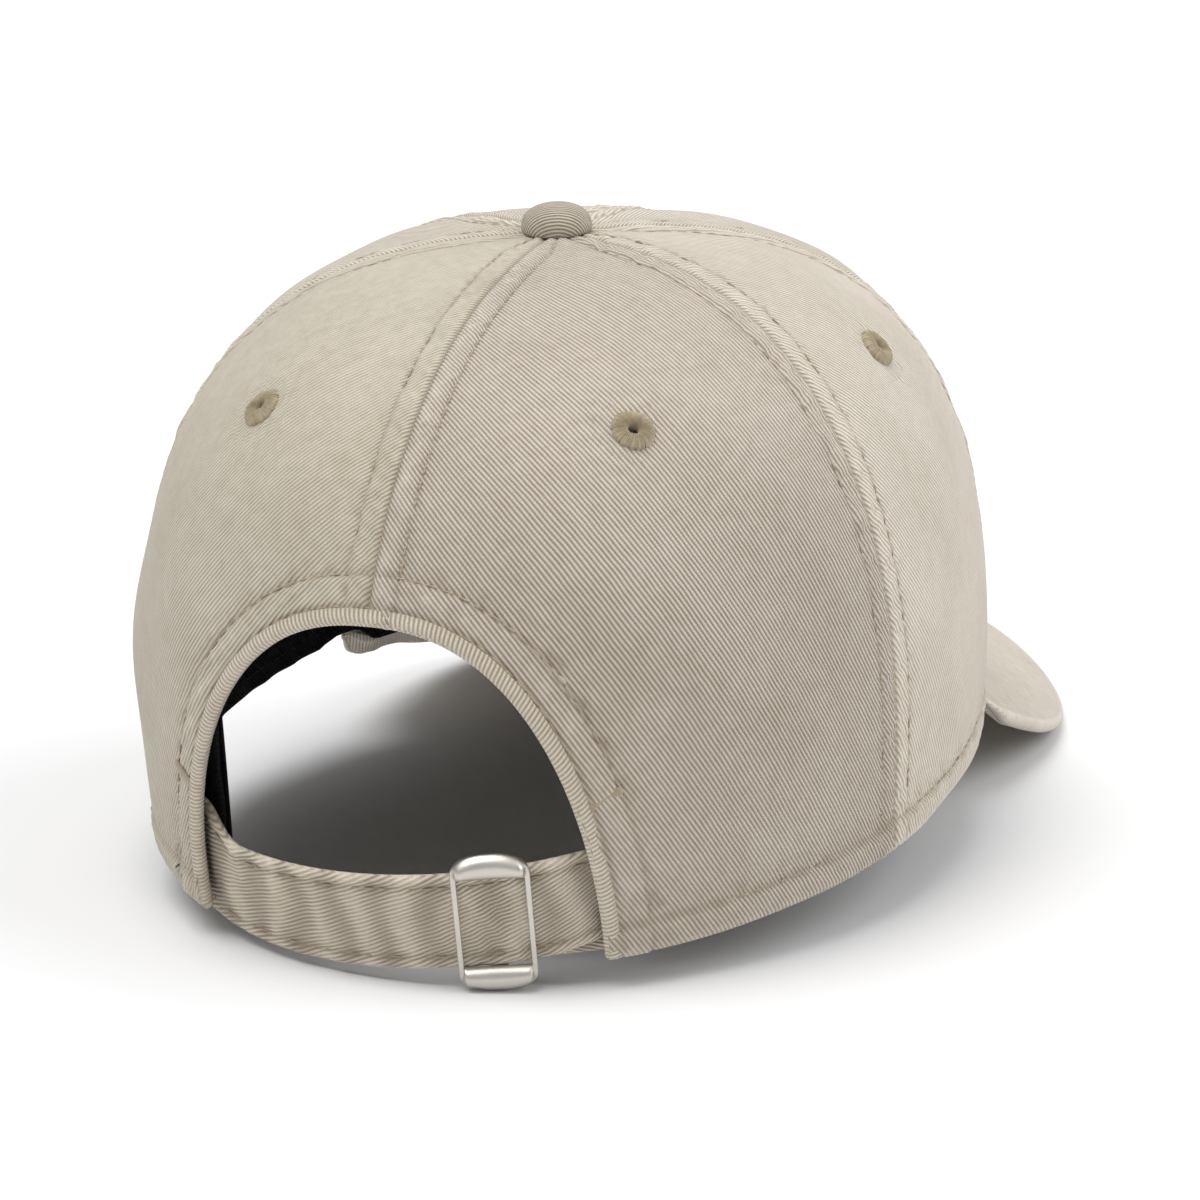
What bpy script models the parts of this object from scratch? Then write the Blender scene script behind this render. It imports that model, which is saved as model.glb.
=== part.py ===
"""Six-panel baseball cap with a curved visor and a cloth strap closed by a slide buckle.

Metres, +Z up. The visor points to -Y, the back opening to +Y, the wearer's right is -X.
Shapes are laid out in the cap's own frame, whose hem lies in the plane z = 0, and then
placed by CAP, which rests the cap on its visor sides and on the buckle.
"""
import math

import bmesh
import bpy
from mathutils import Matrix, Vector

# ---- crown: half width, half length and height of the outside, and its roundness by direction
CROWN_W, CROWN_L, CROWN_H = 0.0797, 0.1045, 0.1021
ROUND_BACK, ROUND_SIDE, ROUND_FRONT = 2.58, 2.85, 2.31
TUCK, TUCK_Z = 0.036, 0.070            # how far the hem draws in, and from what height down
CLOTH, GAP = 0.0009, 0.0003            # panel thickness, space between neighbouring pieces
SEAM_BACK, SEAM_FRONT = 70.6, 116.2    # side seams, degrees round from the centre back
TIP = math.radians(88.6)               # panel tips stop here, under the button

# ---- back opening, its facing and the seam tapes
ARCH_X, ARCH_Z, ARCH_P = 0.0378, 0.0589, 2.28
FACING_W, FACING_T = 0.0090, 0.0005
TAPE_W, TAPE_T = 0.0065, 0.0005        # half width and thickness

# ---- sewn eyelets (angle from centre back on the left and right, height) and top button
EYELETS = {"back": (35.3, 38.0, 0.084), "side": (90.0, 92.5, 0.0825), "front": (148.0, 148.0, 0.083)}
EYE_R, EYE_HOLE, EYE_BARREL, EYE_T = 0.0039, 0.0009, 0.0021, 0.0005
BUTTON_R, BUTTON_H = 0.0066, 0.0052

# ---- sweatband and label
BAND_H, BAND_T, BAND_IN = 0.0320, 0.0011, 0.0021
LABEL_W, LABEL_H, LABEL_T = 0.0260, 0.0265, 0.0005

# ---- visor: bend radius, fall towards the front, lift at the centre, outline
VISOR_R, VISOR_FALL, VISOR_LIFT = 0.105, 0.40, 0.0035
VISOR_X, VISOR_Y, VISOR_FRONT = 0.0757, -0.083, -0.172
TEMPLE = 24.5                          # degrees forward of the side where the visor ends
COVER_T, BOARD_T = 0.0006, 0.0013

# ---- strap arc: its own frame, tilted back from the cap's
STRAP_R, STRAP_T, STRAP_H = 0.0612, 0.0014, 0.0182
STRAP_Y, STRAP_Z, STRAP_LEAN, STRAP_ROLL = 0.0375, 0.0140, 7.0, 4.1
STRAP_ENDS = (34.0, 141.0)             # long strap, degrees about the arc's axis
ANCHOR_T, ANCHOR_H, ANCHOR_END, ANCHOR_SKEW = 0.0007, 0.0164, 146.0, 8.0
# ---- buckle: angle on the arc, half width, bars, window and domed ends
BUCKLE_AT, BUCKLE_W, BUCKLE_BAR = 109.4, 0.0067, 0.0013
WINDOW_H, BUCKLE_END, BUCKLE_DOME, BUCKLE_SKEW = 0.0100, 0.0105, 0.0021, 2.5
BUCKLE_LOW = 0.0005                    # the buckle and short strap sit this much below the long one
CENTRE_W, CENTRE_T = 0.0015, 0.0011

# ---- resting pose
TILT, REST = 7.75, (0.0, 0.0364, 0.0176)
CAP = Matrix.Translation(REST) @ Matrix.Rotation(math.radians(-TILT), 4, "X")
STRAP = (CAP @ Matrix.Translation((0, STRAP_Y, STRAP_Z))
         @ Matrix.Rotation(math.radians(-STRAP_LEAN), 4, "X")
         @ Matrix.Rotation(math.radians(STRAP_ROLL), 4, "Y"))

COLOURS = {"twill": (0.56, 0.50, 0.42), "twill_dark": (0.34, 0.29, 0.23), "black": (0.012, 0.012, 0.014),
           "board": (0.75, 0.75, 0.73), "nickel": (0.62, 0.61, 0.58), "thread": (0.45, 0.38, 0.28)}


# ------------------------------------------------------------------ general helpers
def material(name, colour, rough=0.9, metallic=0.0):
    mat = bpy.data.materials.new(name)
    mat.use_nodes = True
    bsdf = mat.node_tree.nodes["Principled BSDF"]
    bsdf.inputs["Base Color"].default_value = (*COLOURS[colour], 1.0)
    bsdf.inputs["Roughness"].default_value = rough
    bsdf.inputs["Metallic"].default_value = metallic
    return mat


def solid(name, points, faces, colour, origin=None, rough=0.9, metallic=0.0):
    """Closed body from world points; origin is the world point the object is carried by."""
    origin = Vector(origin or (0, 0, 0))
    mesh = bpy.data.meshes.new(name)
    mesh.from_pydata([Vector(p) - origin for p in points], [], faces)
    bm = bmesh.new()
    bm.from_mesh(mesh)
    bmesh.ops.recalc_face_normals(bm, faces=bm.faces)
    bm.to_mesh(mesh)
    bm.free()
    obj = bpy.data.objects.new(name, mesh)
    obj.location = origin
    bpy.context.collection.objects.link(obj)
    if colour:
        mesh.materials.append(material(name, colour, rough, metallic))
    return obj


def sheet(name, at, us, vs, colour, place=CAP, **kw):
    """Cloth or board: at(u, v, t) is its outer skin for t = 1 and its inner skin for t = 0."""
    nu, nv = len(us), len(vs)
    pts = [place @ Vector(at(u, v, t)) for t in (0, 1) for u in us for v in vs]

    def vid(t, i, j):
        return (t * nu + i) * nv + j

    faces = []
    for i in range(nu - 1):
        for j in range(nv - 1):
            for t in (0, 1):
                faces.append((vid(t, i, j), vid(t, i + 1, j), vid(t, i + 1, j + 1), vid(t, i, j + 1)))
    for i in range(nu - 1):
        for j in (0, nv - 1):
            faces.append((vid(0, i, j), vid(0, i + 1, j), vid(1, i + 1, j), vid(1, i, j)))
    for j in range(nv - 1):
        for i in (0, nu - 1):
            faces.append((vid(0, i, j), vid(0, i, j + 1), vid(1, i, j + 1), vid(1, i, j)))
    return solid(name, pts, faces, colour, **kw)


def turned(name, profile, place, colour, steps=20, **kw):
    """Body of revolution about place's Z; profile is (radius, height), closed where radius > 0."""
    pts, rings = [], []
    for r, z in profile:
        n = 1 if r == 0 else steps
        rings.append(list(range(len(pts), len(pts) + n)))
        pts += [place @ Vector((r * math.cos(2 * math.pi * k / n), r * math.sin(2 * math.pi * k / n), z))
                for k in range(n)]
    pairs = list(zip(rings, rings[1:]))
    if profile[0][0] > 0:
        pairs.append((rings[-1], rings[0]))
    faces = []
    for a, b in pairs:
        for k in range(steps):
            quad = [a[k % len(a)], a[(k + 1) % len(a)], b[(k + 1) % len(b)], b[k % len(b)]]
            faces.append(tuple(dict.fromkeys(quad)))
    return solid(name, pts, faces, colour, **kw)


def spread(a, b, n):
    return [a + (b - a) * k / n for k in range(n + 1)]


def ease(x):
    x = min(1.0, max(0.0, x))
    return x * x * (3 - 2 * x)


# ------------------------------------------------------------------ crown surface
def shell(phi, rise):
    """Outside of the crown: phi runs round from the wearer's left, rise from hem to top."""
    z = CROWN_H * math.sin(rise)
    s, c = math.sin(phi), math.cos(phi)
    n = ROUND_BACK * max(0, s) ** 2 + ROUND_FRONT * max(0, -s) ** 2 + ROUND_SIDE * c * c
    rho = (1 - max(0.0, z / CROWN_H) ** n) ** (1 / n)
    rho *= 1 - TUCK * min(1.0, max(0.0, 1 - z / TUCK_Z)) ** 2
    return Vector((CROWN_W * rho * c, CROWN_L * rho * s, z))


def girth(phi, rise):
    """How far the surface moves for one radian of phi."""
    return (shell(phi + 1e-3, rise) - shell(phi - 1e-3, rise)).length / 2e-3


def inside(phi, rise, depth):
    """Point of the crown moved in square to its surface."""
    along = shell(phi + 1e-3, rise) - shell(phi - 1e-3, rise)
    up = shell(phi, rise) - shell(phi, rise - 2e-3)
    return shell(phi, rise) - along.cross(up).normalized() * depth


def rise_of(z):
    return math.asin(z / CROWN_H)


def brim(x, y):
    """Height of the visor's top face: a bent sheet falling towards the front."""
    bend = VISOR_R - math.sqrt(VISOR_R ** 2 - x * x)
    return VISOR_LIFT - bend + VISOR_FALL * (y + CROWN_L * (1 - TUCK))


def hem(phi):
    """Height of the crown's bottom edge: level round the back, on the visor at the front."""
    p = shell(phi, 0.0)
    flat = math.sin(phi) > -math.sin(math.radians(TEMPLE - 3.5))
    p *= 1 - 1.5 * CLOTH / p.length
    return 0.0 if flat else max(0.0, brim(p.x, p.y) + 2 * GAP)


def arch(s, wide=0.0):
    """phi and rise of the opening's edge, s = 0 at the wearer's left, 180 at the right."""
    a = math.radians(s)
    x = (ARCH_X + wide) * math.copysign(abs(math.cos(a)) ** (2 / ARCH_P), math.cos(a))
    z = max(2 * GAP if wide else 0.0, (ARCH_Z + wide) * abs(math.sin(a)) ** (2 / ARCH_P))
    phi = math.pi / 2
    for _ in range(14):
        edge = shell(phi, rise_of(z))
        phi = math.acos(max(-1, min(1, x * math.cos(phi) / edge.x if abs(edge.x) > 1e-9
                                    else x / CROWN_W)))
    return phi, rise_of(z)


# ------------------------------------------------------------------ six crown panels
def panel(name, cols):
    """cols holds phi and rise at the bottom edge, and phi high up, for each column."""
    last = len(cols) - 1

    def at(i, v, t):
        low_phi, low, top_phi = cols[i]
        rise = low + (TIP - low) * v
        phi = low_phi + (top_phi - low_phi) * ease(v * 1.6)
        side = 1 if cols[last][2] > cols[0][2] else -1
        if i in (0, last):
            phi += side * (1 if i == 0 else -1) * GAP / 2 / girth(phi, rise)
        return inside(phi, rise, CLOTH * (1 - t))

    return sheet(name, at, range(last + 1), spread(0, 1, 14), "twill")


def plain_cols(a, b, n):
    return [(p, rise_of(hem(p)), p) for p in spread(math.radians(90 + a), math.radians(90 + b), n)]


def back_cols(side):
    cols = []
    for k in range(15):
        phi, rise = arch(90 - side * 90 * (1 - (1 - k / 14) ** 1.15))
        cols.append((phi, rise, math.radians(90 - side * 40 * k / 14)))
    corner = cols[-1][0]
    end = math.radians(90 - side * SEAM_BACK)
    for k in range(1, 7):
        cols.append((corner + (end - corner) * k / 6, 0.0,
                     math.radians(90 - side * (40 + (SEAM_BACK - 40) * k / 6))))
    return cols


panels = {}


def build_crown():
    for side, word in ((1, "left"), (-1, "right")):
        panels["back", word] = panel("panel_back_" + word, back_cols(side))
        panels["side", word] = panel("panel_side_" + word, plain_cols(-side * SEAM_BACK, -side * SEAM_FRONT, 8))
        panels["front", word] = panel("panel_front_" + word, plain_cols(-side * SEAM_FRONT, -side * 180, 12))


def build_tapes():
    """Binding tapes sewn over the six seams on the inside, narrowing towards the button."""
    tapes = (("back", 0.0, ARCH_Z + FACING_W + 0.0012), ("front", 180.0, 0.0085),
             ("back_left", -SEAM_BACK, 0.004), ("back_right", SEAM_BACK, 0.004),
             ("front_left", -SEAM_FRONT, 0.004), ("front_right", SEAM_FRONT, 0.004))
    for word, turn, low in tapes:
        seam = math.radians(90 + turn)

        def at(u, v, t, seam=seam, low=low):
            rise = rise_of(low) + (math.radians(85.2) - rise_of(low)) * v
            far = shell(seam, rise)
            half = min(TAPE_W, 0.40 * math.hypot(far.x, far.y))
            return inside(seam + u * half / girth(seam, rise), rise, CLOTH + GAP + TAPE_T * (1 - t))

        sheet("seam_tape_" + word, at, (-1, 0, 1), spread(0, 1, 12), "black")


def build_facing():
    """Strip sewn inside the edge of the back opening."""
    def at(s, v, t):
        phi, rise = arch(s, 0.0004 + FACING_W * v)
        return inside(phi, rise, CLOTH + GAP + FACING_T * (1 - t))

    sheet("opening_facing", at, spread(0, 180, 28), (0, 0.5, 1), "twill_dark")


# ------------------------------------------------------------------ eyelets and top button
def outward(phi, rise):
    """Frame on the crown with Z pointing straight out of the cloth."""
    out = (shell(phi, rise) - inside(phi, rise, 0.01)).normalized()
    return CAP @ Matrix.Translation(shell(phi, rise)) @ out.to_track_quat("Z", "Y").to_matrix().to_4x4()


def build_eyelets():
    lift = 0.00045
    spool = [(EYE_HOLE, EYE_T + lift), (EYE_HOLE, -CLOTH - lift - EYE_T),
             (EYE_R - 0.0006, -CLOTH - lift - EYE_T), (EYE_R - 0.0002, -CLOTH - lift), (EYE_BARREL, -CLOTH - lift),
             (EYE_BARREL, lift), (EYE_R, lift), (EYE_R - 0.0006, EYE_T + lift)]
    for which, (left, right, z) in EYELETS.items():
        for side, word, turn in ((1, "left", left), (-1, "right", right)):
            place = outward(math.radians(90 - side * turn), rise_of(z))
            turned("eyelet_%s_%s" % (which, word), spool, place, "thread", 16)
            cutter = turned("hole_%s_%s" % (which, word),
                            [(0, -0.006), (EYE_BARREL + 0.0003, -0.006), (EYE_BARREL + 0.0003, 0.006), (0, 0.006)],
                            place, None, 16)
            cutter.hide_render = True
            cutter.display_type = "WIRE"
            cut = panels[which, word].modifiers.new("eyelet", "BOOLEAN")
            cut.operation, cut.solver, cut.object = "DIFFERENCE", "EXACT", cutter


def build_button():
    top = CAP @ Matrix.Translation((0, 0, CROWN_H))
    wall = 0.0008
    skin = [(BUTTON_R * math.cos(a), 0.0010 + (BUTTON_H - 0.0010) * math.sin(a))
            for a in spread(0, math.pi / 2, 6)[:-1]] + [(0, BUTTON_H)]
    lining = [((BUTTON_R - wall) * math.cos(a), 0.0010 + (BUTTON_H - wall - 0.0010) * math.sin(a))
              for a in spread(0, math.pi / 2, 6)[:-1]] + [(0, BUTTON_H - wall)]
    rim = [(BUTTON_R - 0.0002, 0.0005), (BUTTON_R - wall, 0.0005)]
    turned("button_cover", [lining[-1]] + lining[-2::-1] + rim[::-1] + skin, top, "twill", 24)
    core_r, core_z = BUTTON_R - wall - 0.0004, BUTTON_H - wall - 0.0004
    core = [(core_r * math.cos(a), 0.0012 + (core_z - 0.0012) * math.sin(a))
            for a in spread(0, math.pi / 2, 5)[:-1]]
    turned("button_core", [(0, -0.0050), (0.0014, -0.0050), (0.0014, 0.0008)] + core + [(0, core_z)],
           top, "nickel", 20, rough=0.4, metallic=1.0)
    turned("button_washer", [(0.0018, -0.0032), (0.0018, -0.0040), (0.0048, -0.0040), (0.0056, -0.0034),
                             (0.0056, -0.0028)], top, "nickel", 20, rough=0.4, metallic=1.0)


# ------------------------------------------------------------------ sweatband and label
def band_limit(angle):
    """Largest radius about the strap arc's axis that leaves the strap pockets clear."""
    thick = STRAP_T + (2 * GAP + 2 * ANCHOR_T + 0.0006 if angle > 90 else 0.0)
    clear = STRAP_R - thick - 2 * GAP - 0.0030
    end = 153.5 if angle > 90 else 180 - 35.0
    past = max(0.0, max(angle, 180 - angle) - end)
    return clear + 0.00009 * past + 0.00006 * past * past


def band(phi, z, depth):
    """Sweatband surface: follows the crown, held in where the strap passes outside it."""
    p = inside(phi, rise_of(z), BAND_IN)
    y = p.y - STRAP_Y
    r, angle = math.hypot(p.x, y), math.degrees(math.atan2(y, p.x))
    if angle > 0:
        r = min(r, band_limit(angle))
    return Vector((r * math.cos(math.radians(angle)), STRAP_Y + r * math.sin(math.radians(angle)), z)) \
        + (Vector((0, STRAP_Y * 0.3, z)) - p).normalized() * depth


def build_band():
    start = 90 + 33.5
    phis = spread(math.radians(start), math.radians(540 - start), 56)

    def at(phi, v, t):
        low = hem(phi) + GAP - 0.0036 * ease((-math.sin(phi) - 0.36) / 0.10)   # down to the visor's seam
        return band(phi, low + (BAND_H - low) * v, BAND_T * (1 - t))

    sheet("sweatband", at, phis, spread(0, 1, 4), "black")

    def tag(u, v, t):
        phi = math.radians(46) + (u - 0.5) * LABEL_W / girth(math.radians(46), 0.1)
        return band(phi, 0.007 + LABEL_H * v, BAND_T + 5 * GAP + LABEL_T * (1 - t))

    sheet("care_label", tag, spread(0, 1, 5), spread(0, 1, 4), "black")


# ------------------------------------------------------------------ visor
def rim(u):
    """Outline of the visor in plan, u = -1 at the wearer's left corner, 1 at the right."""
    side, a = (-1 if u > 0 else 1), (1 - abs(u)) / 0.80
    if a <= 0.25 / 0.80:
        k = a / (0.25 / 0.80)
        return side * (0.0722 + (VISOR_X - 0.0722) * math.sin(k * math.pi / 2)), -0.0430 + (VISOR_Y + 0.0430) * k
    b = (a * 0.80 - 0.25) / 0.75 * math.pi / 2
    return side * VISOR_X * math.cos(b) ** (2 / 2.15), VISOR_Y + (VISOR_FRONT - VISOR_Y) * math.sin(b) ** (2 / 2.15)


def visor_at(u, v, drop, over=0.0):
    """Point v of the way from the crown to the rim, drop below the top face."""
    phi = math.radians(270 - u * (90 - TEMPLE))
    root = shell(phi, 0.0)
    root *= 1 - 0.0010 / math.hypot(root.x, root.y)
    x1, y1 = rim(u)
    x, y = root.x + (x1 - root.x) * v, root.y + (y1 - root.y) * v
    way = Vector((x1 - root.x, y1 - root.y)).normalized() * over
    x, y = x + way.x, y + way.y
    up = Vector((x / math.sqrt(VISOR_R ** 2 - x * x), -VISOR_FALL, 1)).normalized()
    return Vector((x, y, brim(x, y))) - Vector((0, 0, 1)).lerp(up, min(1, 2 * v)).normalized() * drop


def build_visor():
    us = [math.copysign(abs(k / 14) ** 0.9, k) for k in range(-14, 15)]
    depth = 2 * (COVER_T + GAP) + BOARD_T

    def top(u, v, t):
        if v <= 1:
            return visor_at(u, v, COVER_T * (1 - t), 0.0 if v < 1 else 0.0006 * t)
        return visor_at(u, 1, depth - GAP / 2 - 0.0003, 0.0006 * t)

    def board(u, v, t):
        return visor_at(u, v, COVER_T + GAP + BOARD_T * (1 - t), -0.0006 * v)

    def under(u, v, t):
        return visor_at(u, v, depth + COVER_T * (1 - t), 0.0004 * v)

    sheet("visor_top", top, us, [0, 0.2, 0.4, 0.6, 0.8, 1, 2], "twill")
    sheet("visor_board", board, us, spread(0, 0.99, 5), "board")
    sheet("visor_under", under, us, spread(0, 1, 5), "twill")


# ------------------------------------------------------------------ strap, anchor strap and buckle
def on_arc(angle, r, z):
    return Vector((r * math.cos(angle), r * math.sin(angle), z))


def ribbon(name, path, height, colour, skew=0.0, **kw):
    """Strap standing on edge: path holds (outer, inner) plan points in the strap's frame.
    skew drops it, in metres per radian past the buckle."""
    def at(i, v, t):
        p = path[i][0 if t else 1]
        past = math.atan2(p.y, p.x) - math.radians(BUCKLE_AT)
        return Vector((p.x, p.y, (v - 0.5) * height - (BUCKLE_LOW + skew * past if skew else 0)))

    return sheet(name, at, range(len(path)), (0, 0.5, 1), colour, place=STRAP, **kw)


def build_strap():
    a, b = (math.radians(d) for d in STRAP_ENDS)
    ribbon("strap_long", [(on_arc(t, STRAP_R, 0), on_arc(t, STRAP_R - STRAP_T, 0)) for t in spread(a, b, 34)],
           STRAP_H, "twill_dark")

    # short strap: out of the right pocket, round the buckle's centre bar and back
    mid, front = math.radians(BUCKLE_AT), STRAP_R - STRAP_T - GAP
    gap = CENTRE_T + 2 * GAP
    reach = (CENTRE_W + 2 * GAP + ANCHOR_T / 2) / STRAP_R
    line = [(t, front - ANCHOR_T / 2) for t in spread(math.radians(ANCHOR_END), mid - reach * 0.75, 16)]
    line += [(mid - reach, front - ANCHOR_T / 2 - 0.3 * (gap + ANCHOR_T)),
             (mid - reach, front - ANCHOR_T / 2 - 0.7 * (gap + ANCHOR_T))]
    back = front - ANCHOR_T / 2 - gap - ANCHOR_T
    near = front - ANCHOR_T / 2 - GAP - ANCHOR_T
    line += [(mid - reach * 0.75, back), (mid + reach * 0.7, back)]
    line += [(t, back + (near - back) * ease((t - mid) / reach / 2.6 - 0.3))
             for t in spread(mid + reach * 1.3, math.radians(ANCHOR_END), 16)]
    centre = [on_arc(t, r, 0) for t, r in line]
    path = []
    for k, p in enumerate(centre):
        way = (centre[min(k + 1, len(centre) - 1)] - centre[max(k - 1, 0)]).normalized()
        side = Vector((way.y, -way.x, 0)) * ANCHOR_T / 2
        path.append((p + side, p - side))
    pivot = STRAP @ Vector((0, 0, 0))
    ribbon("strap_anchor", path, ANCHOR_H, "twill_dark", origin=pivot,
           skew=STRAP_R * math.tan(math.radians(ANCHOR_SKEW)))


def build_buckle():
    mid = math.radians(BUCKLE_AT)
    bar_r = STRAP_R - STRAP_T - 2 * GAP - ANCHOR_T          # front face of the centre bar
    pivot = STRAP @ on_arc(mid, bar_r - CENTRE_T / 2, -BUCKLE_LOW)
    place = (STRAP @ Matrix.Translation((0, 0, -BUCKLE_LOW)) @ Matrix.Rotation(mid, 4, "Z")
             @ Matrix.Rotation(math.radians(-BUCKLE_SKEW), 4, "X"))
    inner, outer = BUCKLE_W - BUCKLE_BAR, BUCKLE_W
    stations = []
    for quarter in range(4):
        for k in range(9):
            a = math.radians(quarter * 90 + k * 10 + 5)
            stations.append((math.cos(a), math.sin(a)))
    pts, n = [], len(stations)
    for c, s in stations:                                    # ring of stations round the window
        big = max(abs(c), abs(s))
        iy, iz = inner * max(-1, min(1, 1.25 * c / big)), WINDOW_H * max(-1, min(1, 1.06 * s / big))
        oy = outer * math.copysign(abs(c / big) ** 0.8, c)
        end = BUCKLE_END + BUCKLE_DOME * (1 - (oy / outer) ** 2)
        oz = end * math.copysign(abs(s / big) ** 0.9, s)
        blend = ease((abs(s) - 0.74) / 0.08)                 # 0 on a side bar, 1 on a domed end
        front = STRAP_R + 0.0014 + 0.0003 * blend
        back = STRAP_R + 0.0004 + (bar_r - CENTRE_T - 0.0002 - STRAP_R - 0.0004) * blend
        crest = 0.0008 * blend
        my, mz = (iy + oy) / 2, (iz + oz) / 2
        pts += [(back, iy, iz), (front - 0.0002, iy, iz), (front + crest, my, mz),
                (front - 0.0004, oy, oz), (back, oy, oz)]
    faces = [(i * 5 + j, i * 5 + (j + 1) % 5, (i + 1) % n * 5 + (j + 1) % 5, (i + 1) % n * 5 + j)
             for i in range(n) for j in range(5)]
    frame = solid("buckle_frame", [place @ Vector(p) for p in pts], faces, "nickel",
                  origin=pivot, rough=0.35, metallic=1.0)
    long_z = WINDOW_H + 0.0006
    box = [(x, y, z) for x in (bar_r - CENTRE_T, bar_r) for y in (-CENTRE_W, CENTRE_W) for z in (-long_z, long_z)]
    bar = solid("centre_bar", [place @ Vector(p) for p in box],
                [(0, 1, 3, 2), (4, 6, 7, 5), (0, 4, 5, 1), (2, 3, 7, 6), (0, 2, 6, 4), (1, 5, 7, 3)], None)
    bar.hide_render = True
    bar.display_type = "WIRE"
    join = frame.modifiers.new("centre_bar", "BOOLEAN")
    join.operation, join.solver, join.object = "UNION", "EXACT", bar


for old in list(bpy.data.objects):
    bpy.data.objects.remove(old, do_unlink=True)
build_crown()
build_tapes()
build_facing()
build_eyelets()
build_button()
build_band()
build_visor()
build_strap()
build_buckle()
bpy.context.view_layer.update()
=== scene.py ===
import math
import random

import bmesh
import bpy
import numpy as np
from mathutils import Euler, Matrix, Vector


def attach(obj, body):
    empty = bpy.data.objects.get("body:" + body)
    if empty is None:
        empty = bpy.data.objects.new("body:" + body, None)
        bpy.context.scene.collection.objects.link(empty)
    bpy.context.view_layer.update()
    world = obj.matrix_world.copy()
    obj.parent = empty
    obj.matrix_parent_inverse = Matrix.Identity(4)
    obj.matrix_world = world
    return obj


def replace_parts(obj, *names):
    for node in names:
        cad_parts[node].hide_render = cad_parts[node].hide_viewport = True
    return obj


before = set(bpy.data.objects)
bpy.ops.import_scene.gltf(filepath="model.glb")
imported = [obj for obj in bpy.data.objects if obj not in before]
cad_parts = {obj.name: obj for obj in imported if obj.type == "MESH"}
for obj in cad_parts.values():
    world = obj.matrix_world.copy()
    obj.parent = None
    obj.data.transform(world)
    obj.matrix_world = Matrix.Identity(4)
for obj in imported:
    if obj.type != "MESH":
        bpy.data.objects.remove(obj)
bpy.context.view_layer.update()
random.seed(7)

# ---------------------------------------------------------------- crown panels
# Six wedges of garment-washed cotton twill, seamed edge to edge. Each seam's allowances are
# pressed open and topstitched down on both sides, so the cloth stands up in two soft ribs
# beside the seam and puckers along the thread.
half_width, half_length, crown_height = 0.0797, 0.1045, 0.1021
round_back, round_side, round_front = 2.58, 2.85, 2.31
hem_tuck, tuck_height = 0.036, 0.070
cloth = 0.0009
seam_row = 0.0046                       # seam to the topstitching on either side of it
hem_row = 0.0056                        # bottom edge to the hem's topstitching
back_seam, front_seam = 70.6, 116.2     # degrees from the centre back
panel_tip = math.radians(89.7)
rest_tilt, rest_shift = 7.75, (0.0, 0.0364, 0.0176)
cap_place = Matrix.Translation(rest_shift) @ Matrix.Rotation(math.radians(-rest_tilt), 4, "X")
visor_bend, visor_fall, visor_lift, temple = 0.105, 0.40, 0.0035, 24.5
opening_half, opening_height, opening_round = 0.0378, 0.0589, 2.28
cap_rows = np.array(cap_place)


def to_world(points):
    return points @ cap_rows[:3, :3].T + cap_rows[:3, 3]


def turned(way):
    """A direction in the cap's own frame, in the world."""
    return way @ cap_rows[:3, :3].T


def crown_surface(phi, rise):
    z = crown_height * np.sin(rise)
    s, c = np.sin(phi), np.cos(phi)
    n = round_back * np.maximum(0, s) ** 2 + round_front * np.maximum(0, -s) ** 2 + round_side * c * c
    rho = np.maximum(0, 1 - (np.maximum(0, z) / crown_height) ** n) ** (1 / n)
    rho = rho * (1 - hem_tuck * np.clip(1 - z / tuck_height, 0, 1) ** 2)
    return np.stack([half_width * rho * c, half_length * rho * s, z + 0 * phi], -1)


def crown_out(phi, rise):
    """Unit vectors square to the crown, pointing out of it."""
    along = crown_surface(phi + 1e-3, rise) - crown_surface(phi - 1e-3, rise)
    up = crown_surface(phi, rise) - crown_surface(phi, rise - 2e-3)
    out = np.cross(along, up)
    return out / np.linalg.norm(out, axis=-1, keepdims=True)


def girth(phi, rise):
    return np.linalg.norm(crown_surface(phi + 1e-3, rise) - crown_surface(phi - 1e-3, rise), axis=-1) / 2e-3


def rise_of(z):
    return np.arcsin(np.asarray(z) / crown_height)


def visor_height(x, y):
    bend = visor_bend - np.sqrt(np.maximum(0, visor_bend ** 2 - x * x))
    return visor_lift - bend + visor_fall * (y + half_length * (1 - hem_tuck))


def hem_height(phi):
    """Bottom edge of the crown: level round the back, lying on the visor at the front."""
    p = crown_surface(phi, 0 * phi)
    over = np.clip((-np.sin(phi) - math.sin(math.radians(temple - 6))) / 0.07, 0, 1)
    return over * np.maximum(0, visor_height(p[..., 0], p[..., 1]) + 0.0004)


def ease(x):
    x = np.clip(x, 0, 1)
    return x * x * (3 - 2 * x)


def opening_edge(s, wide=0.0):
    """phi and rise of the back opening's edge; s runs 0 to 180 from the wearer's left."""
    a = np.radians(np.asarray(s, float))
    x = (opening_half + wide) * np.sign(np.cos(a)) * np.abs(np.cos(a)) ** (2 / opening_round)
    z = (opening_height + wide) * np.abs(np.sin(a)) ** (2 / opening_round)
    phi = np.full(a.shape, math.pi / 2)
    for _ in range(16):
        edge = crown_surface(phi, rise_of(z))
        reach = np.where(np.abs(np.cos(phi)) > 1e-6,
                         edge[..., 0] / np.where(np.cos(phi) == 0, 1, np.cos(phi)),
                         half_width)
        phi = np.arccos(np.clip(x / np.maximum(1e-6, np.abs(reach)), -1, 1))
    return phi, rise_of(z)


def cloth_noise(a, b, seed):
    """Smooth made-up unevenness of a and b, about -1 to 1."""
    rng = np.random.RandomState(seed)
    total = 0
    for k in range(6):
        fa, fb = rng.uniform(0.45, 1.5, 2) * rng.choice([-1, 1], 2) * 2 * math.pi
        total = total + np.sin(a * fa + b * fb + rng.uniform(0, 6.28))
    return total / 3


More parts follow.
